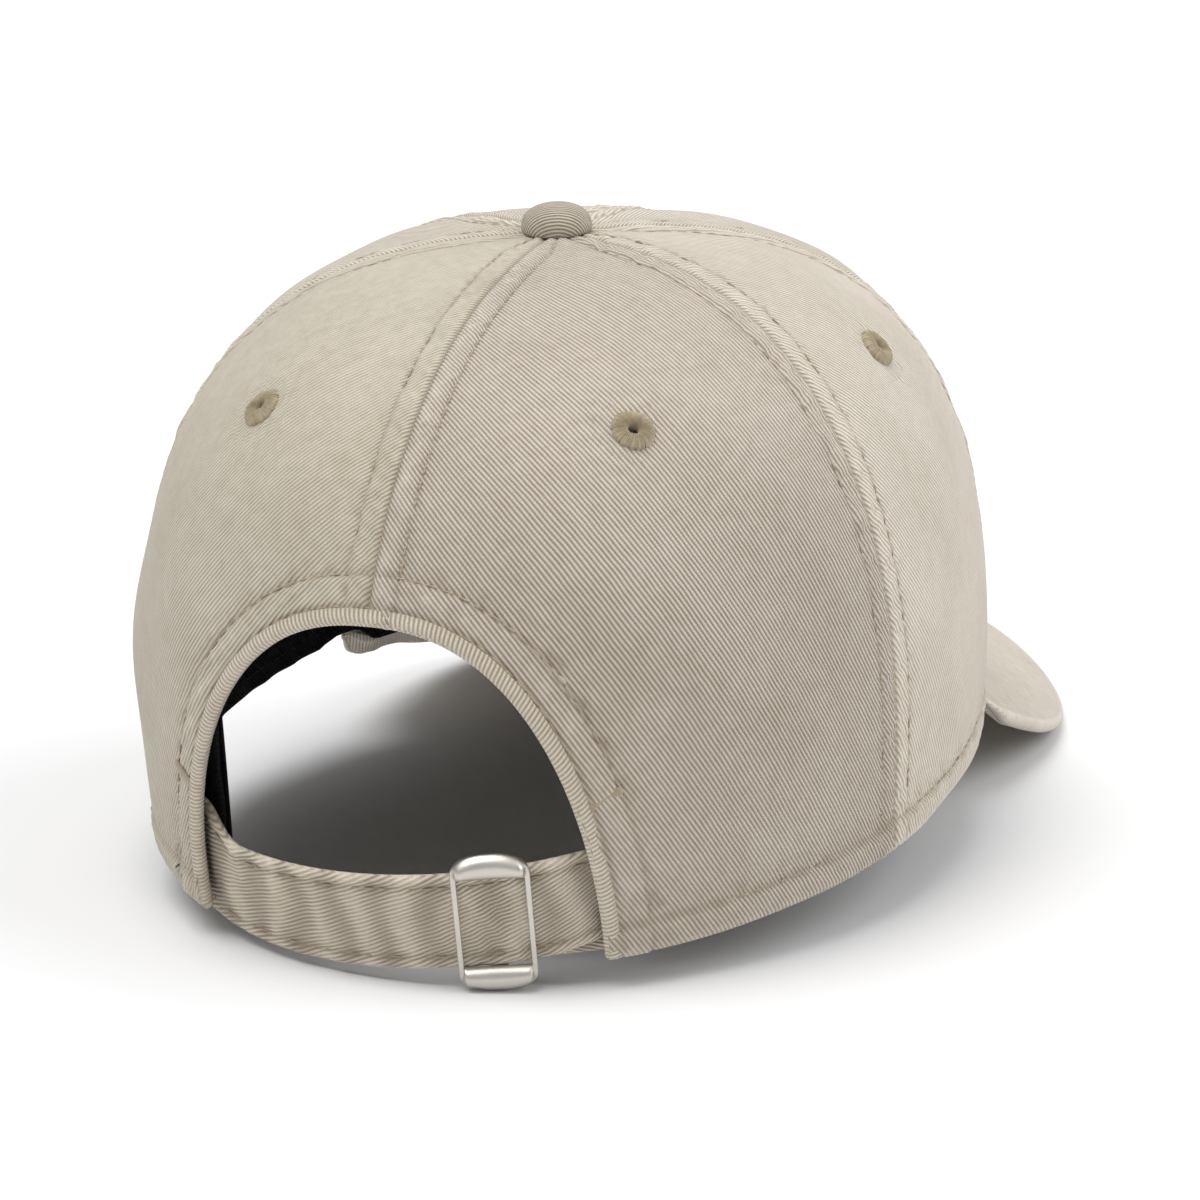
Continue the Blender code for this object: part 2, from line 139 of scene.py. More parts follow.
def rib(d, row, depth=0.00030, groove=0.00030):
    """Height of the cloth at distance d from an edge: a soft rib up to the stitching at row, then flat."""
    body = depth * np.sqrt(np.clip(d / 0.0013, 0, 1)) * (1 - ease((d - row + 0.0009) / 0.0021))
    return body - groove * np.exp(-((d - row) / 0.00048) ** 2)


def row_at(points):
    """Seam to topstitching, drawn in where the seams meet under the button."""
    return seam_row * np.clip(np.hypot(points[..., 0], points[..., 1]) / 0.016, 0.45, 1) ** 0.8


def climb(angle, low, high, spots):
    """Rise at evenly spaced places along the crown at that angle, spots running 0 to 1."""
    rise = np.concatenate([np.linspace(low, 1.45, 300), np.linspace(1.452, high, 300)])
    step = np.linalg.norm(np.diff(crown_surface(np.full(600, angle), rise), axis=0), axis=-1)
    run = np.concatenate([[0], np.cumsum(step)])
    return np.interp(spots, run / run[-1], rise), run[-1]


def mesh_piece(name, verts, faces, uv=None, wear_and_painted_light=None):
    """New mesh object in the cap's own frame; uv holds cloth metres for each point."""
    mesh = bpy.data.meshes.new(name)
    mesh.from_pydata([tuple(v) for v in verts], [], [tuple(f) for f in faces])
    obj = bpy.data.objects.new(name, mesh)
    bpy.context.collection.objects.link(obj)
    if uv is not None:
        layer = mesh.uv_layers.new(name="cloth")
        loops = np.empty(len(mesh.loops), int)
        mesh.loops.foreach_get("vertex_index", loops)
        layer.data.foreach_set("uv", np.asarray(uv)[loops].astype(np.float32).ravel())
    if wear_and_painted_light is not None:
        attr = mesh.attributes.new("wear_and_painted_light", "FLOAT", "POINT")
        attr.data.foreach_set("value", np.asarray(wear_and_painted_light, np.float32))
    mesh.polygons.foreach_set("use_smooth", [True] * len(mesh.polygons))
    mesh.update()
    return obj


def face_outward(obj, weld=0.0):
    """All faces turned outward, points closer than weld joined first."""
    bm = bmesh.new()
    bm.from_mesh(obj.data)
    if weld:
        bmesh.ops.remove_doubles(bm, verts=bm.verts, dist=weld)
    bmesh.ops.recalc_face_normals(bm, faces=bm.faces)
    bm.to_mesh(obj.data)
    bm.free()


def grid_faces(rows, cols, start=0, flip=False, ring=False):
    faces = []
    for i in range(rows - 1):
        for j in range(cols if ring else cols - 1):
            k = (j + 1) % cols
            quad = (start + i * cols + j, start + i * cols + k, start + (i + 1) * cols + k,
                    start + (i + 1) * cols + j)
            faces.append(quad[::-1] if flip else quad)
    return faces


def dense(edge, middle, size, near=0.009):
    """Sample places from 0 to size: edge spacing close to both ends, middle spacing between."""
    side = np.concatenate([[0, 0.0003], np.arange(edge, near, edge)])
    inner = np.linspace(near, size - near, max(2, int((size - 2 * near) / middle)))
    return np.concatenate([side, inner, size - side[::-1]]) / size


def node(tree, kind, x=0, **values):
    n = tree.nodes.new(kind)
    n.location = (x, 0)
    for key, value in values.items():
        if key in n.inputs:
            n.inputs[key].default_value = value
        else:
            setattr(n, key, value)
    return n


def maths(tree, op, a, b=None, c=None):
    n = tree.nodes.new("ShaderNodeMath")
    n.operation = op
    for socket, value in zip(n.inputs, (a, b, c)):
        if value is None:
            continue
        if isinstance(value, (int, float)):
            socket.default_value = value
        else:
            tree.links.new(value, socket)
    return n.outputs[0]


def blend_colour(tree, factor, a, b):
    n = tree.nodes.new("ShaderNodeMix")
    n.data_type = "RGBA"
    for socket, value in ((n.inputs[0], factor), (n.inputs[6], a), (n.inputs[7], b)):
        if isinstance(value, tuple):
            socket.default_value = (*value, 1.0)
        elif isinstance(value, float):
            socket.default_value = value
        else:
            tree.links.new(value, socket)
    return n.outputs[2]


def noise(tree, where, scale, detail=3.0, rough=0.55):
    n = node(tree, "ShaderNodeTexNoise", Scale=scale, Detail=detail, Roughness=rough)
    tree.links.new(where, n.inputs["Vector"])
    return n.outputs["Fac"]


def twill(name, lean, pitch=0.00076, light=(0.655, 0.595, 0.505), deep=(0.33, 0.285, 0.215), relief=0.00024,
          wash=1.0, sheen=0.25):
    """Washed twill: raised wales that lean by that angle from the weft, each a row of short floats."""
    mat = bpy.data.materials.new(name)
    mat.use_nodes = True
    tree = mat.node_tree
    link = tree.links.new
    bsdf = tree.nodes["Principled BSDF"]
    uv = node(tree, "ShaderNodeUVMap", -1800, uv_map="cloth").outputs["UV"]
    where = node(tree, "ShaderNodeTexCoord", -1800).outputs["Object"]
    wander = node(tree, "ShaderNodeTexNoise", Scale=140.0, Detail=2.0)
    link(uv, wander.inputs["Vector"])
    split = node(tree, "ShaderNodeSeparateXYZ")
    link(uv, split.inputs[0])
    u, v = split.outputs[0], split.outputs[1]
    c, s = math.cos(math.radians(lean)), math.sin(math.radians(lean))
    across = maths(tree, "ADD", maths(tree, "MULTIPLY", u, -s), maths(tree, "MULTIPLY", v, c))
    along = maths(tree, "ADD", maths(tree, "MULTIPLY", u, c), maths(tree, "MULTIPLY", v, s))
    across = maths(tree, "ADD", across,
                   maths(tree, "MULTIPLY", maths(tree, "SUBTRACT", wander.outputs["Fac"], 0.5),
                                              pitch * 0.55))
    phase = maths(tree, "MULTIPLY", across, 2 * math.pi / pitch)
    wave = maths(tree, "MULTIPLY_ADD", maths(tree, "SINE", phase), 0.5, 0.5)
    ridge = maths(tree, "POWER", wave, 0.62)
    float_phase = maths(tree, "ADD", maths(tree, "MULTIPLY", along, 2 * math.pi / (pitch * 0.82)),
                        maths(tree, "MULTIPLY", phase, 0.5))
    floats = maths(tree, "MULTIPLY_ADD", maths(tree, "SINE", float_phase), 0.5, 0.5)
    fuzz = noise(tree, uv, 5200.0, 2.0)
    height = maths(tree, "ADD", maths(tree, "MULTIPLY", ridge,
                                      maths(tree, "MULTIPLY_ADD", floats, 0.16, 0.84)),
                   maths(tree, "MULTIPLY", fuzz, 0.16))
    # dye lies deep between the wales and is washed off their tops; the dark between the wales is also
    # painted shade in the hollows
    tone = blend_colour(tree, maths(tree, "POWER", ridge, 0.8), deep, light)
    patch = noise(tree, where, 46.0, 4.0)
    fine = noise(tree, where, 420.0, 3.0)
    mottle = maths(tree, "MULTIPLY", maths(tree, "ADD", maths(tree, "SUBTRACT", patch, 0.5),
                                           maths(tree, "MULTIPLY", maths(tree, "SUBTRACT", fine, 0.5),
                                                   0.7)), wash)
    gain = node(tree, "ShaderNodeBrightContrast")
    link(tone, gain.inputs["Color"])
    link(maths(tree, "MULTIPLY", mottle, 0.16), gain.inputs["Bright"])
    # this attribute holds rubbed wear and also painted light and shade: above zero it mixes towards a paler
    # colour, below zero towards a dark one
    wear_and_painted_light = node(tree, "ShaderNodeAttribute", attribute_name="wear_and_painted_light").outputs["Fac"]
    rough_wear_and_painted_light = maths(tree, "MULTIPLY", wear_and_painted_light, maths(tree, "MULTIPLY_ADD", fine, 1.3, 0.3))
    pale_wear_and_painted_light = blend_colour(tree, maths(tree, "MULTIPLY", maths(tree, "MAXIMUM", rough_wear_and_painted_light, 0.0), 0.55),
                        gain.outputs[0], tuple(min(1.0, k * 1.28) for k in light))
    dark_wear_and_painted_shade = blend_colour(tree, maths(tree, "MULTIPLY",
                                    maths(tree, "MAXIMUM", maths(tree, "MULTIPLY", wear_and_painted_light, -1.0), 0.0),
                                    0.60), pale_wear_and_painted_light, (0.30, 0.24, 0.165))
    link(dark_wear_and_painted_shade, bsdf.inputs["Base Color"])
    bsdf.inputs["Roughness"].default_value = 0.92
    bsdf.inputs["Specular IOR Level"].default_value = 0.18
    bsdf.inputs["Sheen Weight"].default_value = sheen
    bsdf.inputs["Sheen Roughness"].default_value = 0.55
    bump = node(tree, "ShaderNodeBump", Strength=1.0, Distance=relief)
    link(height, bump.inputs["Height"])
    link(bump.outputs[0], bsdf.inputs["Normal"])
    return mat


seam_angles = {"back": 90.0, "back_left": 90 - back_seam, "back_right": 90 + back_seam, "front": 270.0,
               "front_left": 90 - front_seam, "front_right": 90 + front_seam}
eyelet_places = {"back": (35.3, 38.0, 0.084), "side": (90.0, 92.5, 0.0825), "front": (148.0, 148.0, 0.083)}


def eyelet_spot(which, side):
    left, right, z = eyelet_places[which]
    turn = left if side > 0 else right
    return math.radians(90 - side * turn), float(rise_of(z))


panel_relief = {"panel_back_right": 0.00038, "panel_back_left": 0.00014}
# painted shade: the two back panels' twill is darkened to stand in for the light they miss, the cloth being
# the same as the rest
panel_painted_shade = {"panel_back_left": (0.80, 0.795, 0.755), "panel_back_right": (0.885, 0.855, 0.835)}
# how pale each seam's rib is where it differs from the rest, rubbed wear together with painted shade on the
# left of the centre back seam and painted light on the ridge to its right, and how much it stands up
edge_rub_and_painted_light = {("panel_back_left", 0): -0.35, ("panel_back_right", 1): 0.15, ("panel_back_right", 0): 0.65,
            ("panel_side_right", 0): 0.20}
edge_puff = {("panel_back_right", 0): 1.35, ("panel_side_right", 0): 0.45, ("panel_back_right", 1): 0.9}
edge_pucker = {("panel_side_right", 0): 2.6, ("panel_back_right", 1): 2.2}


def crown_panel(name, low_phi, low_rise, top_phi, middle, seed, lean, eyelet):
    """One panel from its bottom edge (low_phi, low_rise per column) up to the tip under the button."""
    cols = len(low_phi)
    side = 1.0 if top_phi[-1] > top_phi[0] else -1.0
    lift, tall_total = climb(math.radians(middle), 0.0, panel_tip, dense(0.0007, 0.0011, 0.15, 0.010))
    rows = len(lift)
    v = (lift / panel_tip)[:, None]
    rise = low_rise[None] + (panel_tip - low_rise[None]) * v
    phi = low_phi[None] + (top_phi - low_phi)[None] * ease(v * 1.6)
    base = crown_surface(phi, rise)
    out = crown_out(phi, rise)
    width = girth(phi, rise)
    left, right = seam_angles[name_seams[name][0]], seam_angles[name_seams[name][1]]
    d_left = np.abs((np.degrees(phi) - left + 180) % 360 - 180) * math.pi / 180 * width
    d_right = np.abs((np.degrees(phi) - right + 180) % 360 - 180) * math.pi / 180 * width
    d_low = np.concatenate([np.zeros((1, cols)),
                            np.cumsum(np.linalg.norm(np.diff(base, axis=0), axis=-1), 0)])
    ladder = np.linspace(0, 1, 400)
    tall = np.interp(rise, climb(math.radians(middle), 0.0, panel_tip, ladder)[0], ladder * tall_total)
    wide = (phi - math.radians(middle)) * width

    raised = np.zeros_like(rise)
    wear_and_painted_light = np.zeros_like(rise)
    for d, k in ((d_left, 0), (d_right, 1)):
        run = cloth_noise(tall / 0.0036, d / 0.004, seed + k)
        slow = cloth_noise(tall / 0.013, d / 0.009, seed + 5 + k)
        near = np.exp(-(d / 0.0052) ** 2)
        row = row_at(base)
        raised += rib(d, row + 0.00010 * slow) * (1 + 0.3 * slow) * edge_puff.get((name, k), 0.8)
        raised -= 0.00030 * np.exp(-(d / 0.0004) ** 2) * ease((d_low - 0.004) / 0.004)
        raised += 0.00012 * edge_pucker.get((name, k), 1.0) * run * near * ease(d / 0.0016)
        raised += 0.00014 * slow * np.exp(-((d - row) / 0.0035) ** 2)
        # pale rib beside the seam: rubbed wear, plus painted light or painted shade on the sides listed in
        # edge_rub_and_painted_light
        pale_wear_and_painted_light = edge_rub_and_painted_light.get((name, k), 0.30)
        wear_and_painted_light += pale_wear_and_painted_light * np.exp(-((d - 0.0018) / 0.0012) ** 2) * (0.6 + 0.6 * slow + 0.6 * run)
        # painted shade: dark along the seam line, in the stitch groove and in patches on the puckers beside
        # it
        wear_and_painted_light -= 0.8 * np.exp(-((d - row) / 0.0006) ** 2) * (0.7 + 0.3
                * run) + 1.6 * np.exp(-(d / 0.0004) ** 2)
        wear_and_painted_light -= 0.45 * np.exp(-((d - row - 0.0004) / 0.0015) ** 2) * np.maximum(0, run)
    hem_run = cloth_noise(wide / 0.0050, tall / 0.006, seed + 11)
    if name.startswith("panel_back"):
        d_low = tall
        d_open = np.min(np.linalg.norm(base[:, :, None, :] - opening_line[None, None], axis=-1), axis=-1)
        raised += 0.00034 * (1 - ease((d_open - 0.0068) / 0.0020)) + 0.00018 * hem_run * np.exp(
            -((d_open - 0.0075) / 0.0035) ** 2)
        # painted shade in the stitch grooves; the pale and dark patches beside them are painted light and
        # shade on the puckers
        for row in (0.0024, 0.0079):
            raised -= 0.00034 * np.exp(-((d_open - row) / 0.0005) ** 2)
            wear_and_painted_light -= 0.9 * np.exp(-((d_open - row) / 0.0006) ** 2) * (0.8 + 0.4 * hem_run)
        wear_and_painted_light += 0.7 * np.exp(-((d_open - 0.0052) / 0.0015) ** 2) * np.maximum(0, hem_run)
        wear_and_painted_light -= 0.7 * np.exp(-((d_open - 0.0095) / 0.0015) ** 2) * np.maximum(0, hem_run)
    shut = ease(np.minimum(d_left, d_right) / 0.0016)              # the hem's thread sinks less into a seam
    raised += (rib(d_low, hem_row, 0.00055, 0.00012 + 0.00028 * shut) + 0.00022 * hem_run
               * np.exp(-((d_low - hem_row) / 0.004) ** 2)
               * ease(d_low / 0.001))
    # pale at the hem's edge: rubbed wear; dark in the stitch groove and in the patches beside it: painted
    # shade
    wear_and_painted_light += 0.8 * np.exp(-((d_low - 0.0002) / 0.0009) ** 2) * (0.8 + 0.5 * hem_run)
    wear_and_painted_light -= 1.0 * np.exp(-((d_low - hem_row) / 0.0007) ** 2) * (0.8 + 0.4 * hem_run)
    wear_and_painted_light -= 0.7 * np.exp(-((d_low - hem_row - 0.0015) / 0.0015) ** 2) * np.maximum(0, hem_run)
    raised += 0.00045 * cloth_noise(wide / 0.050, tall / 0.055,
                                    seed + 21) * ease(d_left / 0.02) * ease(d_right / 0.02)
    if eyelet:
        spot = crown_surface(np.array(eyelet[0]), np.array(eyelet[1]))
        far = np.linalg.norm(base - spot, axis=-1)
        raised -= 0.00045 * np.exp(-(far / 0.0042) ** 2)
        raised += 0.00018 * np.exp(-((far - 0.0062) / 0.0022) ** 2) * cloth_noise(wide / 0.003,
                tall / 0.003, seed + 31)
    # both sides of a seam meet at one height
    joined = 0.0004 * (1 - ease((d_low - 0.0046) / 0.003)) - 0.00025
    raised = joined + (raised - joined) * ease(np.minimum(d_left, d_right) / 0.0009)
    if name.startswith("panel_back"):
        wear_and_painted_light += 0.55 * ease((tall - 0.055) / 0.05)                 # paler towards the button: painted light where the top faces the light
    wear_and_painted_light = np.maximum(wear_and_painted_light, -1.0)
    thick = cloth + 0.0007 * (1 - ease((d_low - 0.0045) / 0.002))
    outer = base + out * (raised - 0.00012)[..., None]
    inner = base - out * thick[..., None]
    half = (thick[0] + raised[0]) / 2
    centre = (outer[0] + inner[0]) / 2
    down = base[0] - base[1]
    down /= np.linalg.norm(down, axis=-1, keepdims=True)
    turn = [centre + out[0] * (half * math.cos(a))[:, None] + down * (half * math.sin(a) * 0.8)[:, None]
            for a in np.linspace(0, math.pi, 7)[1:-1]]
    skins = np.concatenate([outer[::-1], np.array(turn), inner])
    arc = np.concatenate([d_low[::-1], -np.linspace(0.0003, 0.0016, 5)[:, None] + 0 * centre[None, :, 0],
                          -0.002 - d_low])
    wide_all = np.concatenate([wide[::-1], np.repeat(wide[:1], 5, 0), wide])
    tall_all = np.concatenate([tall[::-1], tall[:1] + arc[rows:rows + 5], tall[:1] - 0.002 - d_low])
    wear_and_painted_light_all = np.concatenate([wear_and_painted_light[::-1], np.full((5, cols), 0.9), wear_and_painted_light * 0])
    faces = grid_faces(len(skins), cols, flip=side < 0)
    total = skins.reshape(-1, 3)
    if eyelet:
        hole = {int(i) for i in np.nonzero(np.linalg.norm(total - spot, axis=-1) < 0.0021)[0]}
        faces = [f for f in faces if not hole.intersection(f)]
    obj = mesh_piece(name.replace("panel", "cloth_panel"), to_world(total), faces,
                     np.stack([wide_all, tall_all], -1).reshape(-1, 2), wear_and_painted_light=wear_and_painted_light_all.ravel())
    # painted shade on the listed panels: their twill darkened in place of light
    painted_shade_tint = panel_painted_shade.get(name, (1, 1, 1))
    obj.data.materials.append(twill("twill_" + name, lean, relief=panel_relief.get(name, 0.00016),
                                    light=tuple(k * d for k, d in zip((0.655, 0.595, 0.505), painted_shade_tint)),
                                    deep=tuple(k * d for k, d in zip((0.33, 0.285, 0.215), painted_shade_tint))))
    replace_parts(obj, name)
    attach(obj, "crown")
    return obj


opening_line = crown_surface(*opening_edge(np.linspace(0, 180, 300)))
name_seams = {"panel_back_left": ("back", "back_left"), "panel_back_right": ("back", "back_right"),
              "panel_side_left": ("back_left", "front_left"), "panel_side_right": ("back_right",
                      "front_right"),
              "panel_front_left": ("front_left", "front"), "panel_front_right": ("front_right", "front")}
for side, word in ((1, "left"), (-1, "right")):
    # back panels: columns follow the opening's edge down to its corner, then the hem
    down_edge = 90 - side * 90 * (1 - (1 - np.linspace(0, 1, 96)) ** 1.12)
    edge_phi, edge_rise = opening_edge(down_edge)
    end = math.radians(90 - side * back_seam)
    hem_phi = edge_phi[-1] + (end - edge_phi[-1]) * dense(0.0008, 0.0014, 0.055)[1:]
    low_phi = np.concatenate([edge_phi, hem_phi])
    low_rise = np.concatenate([edge_rise, 0 * hem_phi])
    reach = np.concatenate([40 * np.linspace(0, 1, 96),
                            40 + (back_seam - 40) * np.linspace(0, 1, len(hem_phi) + 1)[1:]])
    crown_panel("panel_back_" + word, low_phi, low_rise, np.radians(90 - side * reach),
                90 - side * 35.3, 100 + side,
                122 if side < 0 else 58, eyelet_spot("back", side))
    for part, a, b, seed in (("side", back_seam, front_seam, 140), ("front", front_seam, 180.0, 180)):
        turn = a + (b - a) * dense(0.0007, 0.0015, 0.085 if part == "side" else 0.105)
        phi = np.radians(90 - side * turn)
        crown_panel("panel_%s_%s" % (part, word), phi, rise_of(hem_height(phi)), phi,
                    90 - side * (a + b) / 2,
                    seed + side, 118 if side < 0 else 62, eyelet_spot(part, side))

# ---------------------------------------------------------------- topstitching
# Tan cotton thread, lockstitched about eight to the inch: two rows along every seam, one
# round the hem. The thread sinks into the groove that it pulls in the cloth.
stitch_length, stitch_gap, thread_radius = 0.0023, 0.0006, 0.00017


def thread_material(name, colour, sheen=0.3):
    mat = bpy.data.materials.new(name)
    mat.use_nodes = True
    tree = mat.node_tree
    bsdf = tree.nodes["Principled BSDF"]
    where = node(tree, "ShaderNodeTexCoord").outputs["Object"]
    tone = blend_colour(tree, noise(tree, where, 700.0, 3.0), tuple(0.62 * k for k in colour),
                        tuple(min(1, 1.3 * k) for k in colour))
    tree.links.new(tone, bsdf.inputs["Base Color"])
    bsdf.inputs["Roughness"].default_value = 0.75
    bsdf.inputs["Sheen Weight"].default_value = sheen
    bump = node(tree, "ShaderNodeBump", Strength=0.7, Distance=0.00008)
    tree.links.new(noise(tree, where, 5200.0, 2.0), bump.inputs["Height"])
    tree.links.new(bump.outputs[0], bsdf.inputs["Normal"])
    return mat


def stitches(name, lines, mat, length=stitch_length, gap=stitch_gap, radius=thread_radius, body="crown",
             sink=0.35):
    """Separate thread stitches along each line of (points, outward vectors), all one object."""
    verts, faces = [], []
    ring, along = 6, (-1.0, -0.8, -0.35, 0.35, 0.8, 1.0)
    for points, outs in lines:
        points, outs = np.asarray(points), np.asarray(outs)
        run = np.concatenate([[0], np.cumsum(np.linalg.norm(np.diff(points, axis=0), axis=-1))])
        count = max(1, int(run[-1] / (length + gap)))
        step = run[-1] / count
        for k in range(count):
            mid = (k + 0.5) * step
            half = step * length / (length + gap) / 2 * random.uniform(0.92, 1.06)
            start = len(verts)
            place = [mid + half * t for t in along]
            pts = np.stack([np.interp(place, run, points[:, i]) for i in range(3)], -1)
            nrm = np.stack([np.interp(place, run, outs[:, i]) for i in range(3)], -1)
            nrm /= np.linalg.norm(nrm, axis=-1, keepdims=True)
            tangent = np.gradient(pts, axis=0)
            tangent /= np.linalg.norm(tangent, axis=-1, keepdims=True)
            sidew = np.cross(tangent, nrm)
            skew = random.uniform(-0.35, 0.35) * radius
            for i, t in enumerate(along):
                r = radius * math.sqrt(max(0.06, 1 - t * t * 0.97))
                c = pts[i] + nrm[i] * (r * 0.2 - radius * sink * 2.2 * t ** 4) + sidew[i] * skew * t
                for q in range(ring):
                    a = 2 * math.pi * q / ring
                    verts.append(c + sidew[i] * r * 1.15 * math.cos(a) + nrm[i] * r * math.sin(a))
            faces += grid_faces(len(along), ring, start, ring=True)
            faces.append(tuple(start + q for q in range(ring))[::-1])
            faces.append(tuple(start + (len(along) - 1) * ring + q for q in range(ring)))
    obj = mesh_piece(name, verts, faces)
    obj.data.materials.append(mat)
    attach(obj, body)
    return obj


def on_crown(phi, rise, above=-0.00022):
    """Points on the crown's skin in the world, with their outward vectors."""
    out = crown_out(phi, rise)
    return to_world(crown_surface(phi, rise) + out * above), turned(out)


seam_thread = thread_material("seam_thread", (0.37, 0.29, 0.20))
rows_of_thread = []
for which, angle in seam_angles.items():
    low = {"back": opening_height + 0.0018,
           "front": float(hem_height(np.array(math.radians(270.0)))) + 0.001}.get(which, 0.0012)
    rise, _ = climb(math.radians(angle), float(rise_of(low)), math.radians(88.4), np.linspace(0, 1, 160))
    row = row_at(crown_surface(np.full(160, math.radians(angle)), rise))
    for way in (-1, 1):
        phi = math.radians(angle) + way * row / girth(np.full(160, math.radians(angle)), rise)
        rows_of_thread.append(on_crown(phi, rise))
hem_side = np.radians(np.linspace(90 + 32.0, 450 - 32.0, 500))
for part in (hem_side[hem_side < math.radians(180 + temple)],
             hem_side[hem_side > math.radians(360 - temple)]):
    rows_of_thread.append(on_crown(part, rise_of(hem_height(part) + hem_row * 0.985)))
stitches("crown_topstitching", rows_of_thread, seam_thread)

# ---------------------------------------------------------------- seam tapes
# Black cotton tape over the raw allowances inside the crown, stitched down along both edges
# and narrowing towards the button.
tape_half, tape_thick, tape_length = 0.0065, 0.0005, 0.1
tape_depth = cloth + 0.0003 + tape_thick / 2


def slab(name, at, length, width, thick, mat, step=0.0012, relief=None, wear_and_painted_light=None, body="crown",
         replaces=()):
    """Strip with rounded edges. at(u, v) gives its middle and the vectors out of it, u along, v across."""
    edge = thick / 2 * np.array([0, 0.05, 0.18, 0.45, 1.0])
    us = np.concatenate([edge, np.linspace(thick, length - thick, max(3, int(length / step))),
                         length - edge[::-1]])
    vs = np.concatenate([edge, np.linspace(thick, width - thick, max(4, int(width / step))),
                         width - edge[::-1]])
    u, v = np.meshgrid(us, vs, indexing="ij")
    near_u, near_v = np.minimum(u, length - u), np.minimum(v, width - v)
    round_u = np.sqrt(np.maximum(0, 1 - (1 - np.clip(near_u / (thick / 2), 0, 1)) ** 2))
    round_v = np.sqrt(np.maximum(0, 1 - (1 - np.clip(near_v / (thick / 2), 0, 1)) ** 2))
    half = (thick / 2 * round_u * round_v)[..., None]
    mid, out = at(u, v)
    out = out / np.linalg.norm(out, axis=-1, keepdims=True)
    lift = 0 if relief is None else (relief(u, v) * round_u * round_v)[..., None]
    front, back = mid + out * (half + lift), mid - out * half
    rows, cols = u.shape
    # rubbed wear together with any painted light and shade given for the strip
    worn = np.zeros_like(u) if wear_and_painted_light is None else wear_and_painted_light(u, v)
    faces = grid_faces(rows, cols) + grid_faces(rows, cols, rows * cols, flip=True)
    uv = np.stack([np.concatenate([u, u + 0.0004]), np.concatenate([v, v])], -1).reshape(-1, 2)
    obj = mesh_piece(name, np.concatenate([front, back]).reshape(-1, 3), faces, uv,
                     wear_and_painted_light=np.concatenate([worn, worn]).ravel())
    obj.data.materials.append(mat)
    face_outward(obj, 1e-7)
    if replaces:
        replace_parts(obj, *replaces)
    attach(obj, body)
    return obj


def black_cloth(name, pitch=0.0009, relief=0.00012, tone=0.013, lean=45.0):
    """Black woven cotton, a little grey where it is rubbed."""
    return twill(name, lean, pitch, (tone * 1.7, tone * 1.65, tone * 1.7),
                 (tone * 0.5, tone * 0.5, tone * 0.55), relief,
                 wash=0.06, sheen=0.05)


tape_mat = black_cloth("tape_cotton", 0.0007)
black_thread = thread_material("black_thread", (0.02, 0.02, 0.021), 0.1)
tape_rows = []
for which, turn, low in (("back", 0.0, 0.0695), ("front", 180.0, 0.0085), ("back_left", -back_seam, 0.004),
                         ("back_right", back_seam, 0.004), ("front_left", -front_seam, 0.004),
                         ("front_right", front_seam, 0.004)):
    start, stop, seam = float(rise_of(low)), math.radians(85.2), math.radians(90 + turn)

    def tape(u, v):
        rise = start + (stop - start) * u / tape_length
        far = crown_surface(seam + 0 * u, rise)
        half = np.minimum(tape_half, 0.40 * np.hypot(far[..., 0], far[..., 1]))
        phi = seam + (v / tape_half - 1) * half / girth(seam + 0 * u, rise)
        out = crown_out(phi, rise)
        return to_world(crown_surface(phi, rise) - out * tape_depth), turned(-out)

    slab("tape_" + which, tape, tape_length, 2 * tape_half, tape_thick, tape_mat, 0.0018,
         lambda u, v: 0.00012 * cloth_noise(u / 0.004, v / 0.006, 5), replaces=["seam_tape_" + which])
    run = np.linspace(0.002, tape_length - 0.002, 90)
    for v in (0.0012, 2 * tape_half - 0.0012):
        mid, out = tape(run, np.full(90, v))
        tape_rows.append((mid + out * (tape_thick / 2 + 0.00005), out))
stitches("tape_stitching", tape_rows, black_thread)

# ---------------------------------------------------------------- back opening
# A bias strip of the same twill is rolled over the cut edge, stitched near the roll, and
# turned flat inside, where a second row holds it down. Bartacks lock both lower corners.
profile = np.array([(0.0022, 0.00005), (0.0018, 0.00036), (0.0010, 0.00058), (0.0002, 0.00046),
                    (-0.0004, 0.0),
                (-0.0004, -0.0008), (0.0003, -0.0015), (0.0025, -0.00155), (0.0060, -0.00150), (0.0092,
                        -0.00150)])
profile_run = np.concatenate([[0], np.cumsum(np.linalg.norm(np.diff(profile, axis=0), axis=1))])
edge_turn = np.linspace(0, 180, 400)
edge_phi, edge_rise = opening_edge(edge_turn)
edge_points = crown_surface(edge_phi, edge_rise)
edge_run = np.concatenate([[0], np.cumsum(np.linalg.norm(np.diff(edge_points, axis=0), axis=1))])


def near_opening(run, wide):
    """Point and outward vector at that distance along the opening's edge and that far outside it."""
    turn = np.interp(run, edge_run, edge_turn)
    phi0, rise0 = opening_edge(turn)
    p0 = crown_surface(phi0, rise0)
    phi1, rise1 = opening_edge(turn, 0.004)
    away = crown_surface(phi1, rise1) - p0
    away /= np.linalg.norm(away, axis=-1, keepdims=True)
    out = crown_out(phi0, rise0)
    flat = p0 + away * np.asarray(wide)[..., None]
    bow = np.asarray(wide) ** 2 / (2 * 0.085)
    return flat - out * bow[..., None], out, away


def binding(u, v):
    wide, lift = np.interp(v, profile_run, profile[:, 0]), np.interp(v, profile_run, profile[:, 1])
    d = 0.0003
    slope = np.stack([np.interp(v + d, profile_run, profile[:, 0]) - np.interp(v - d, profile_run,
            profile[:, 0]),
                      np.interp(v + d, profile_run, profile[:, 1]) - np.interp(v - d, profile_run,
                              profile[:, 1])], -1)
    slope /= np.linalg.norm(slope, axis=-1, keepdims=True)
    p, out, away = near_opening(u, wide)
    p = p + out * lift[..., None]
    side = away * slope[..., 1:2] - out * slope[..., 0:1]
    return to_world(p), turned(-side)


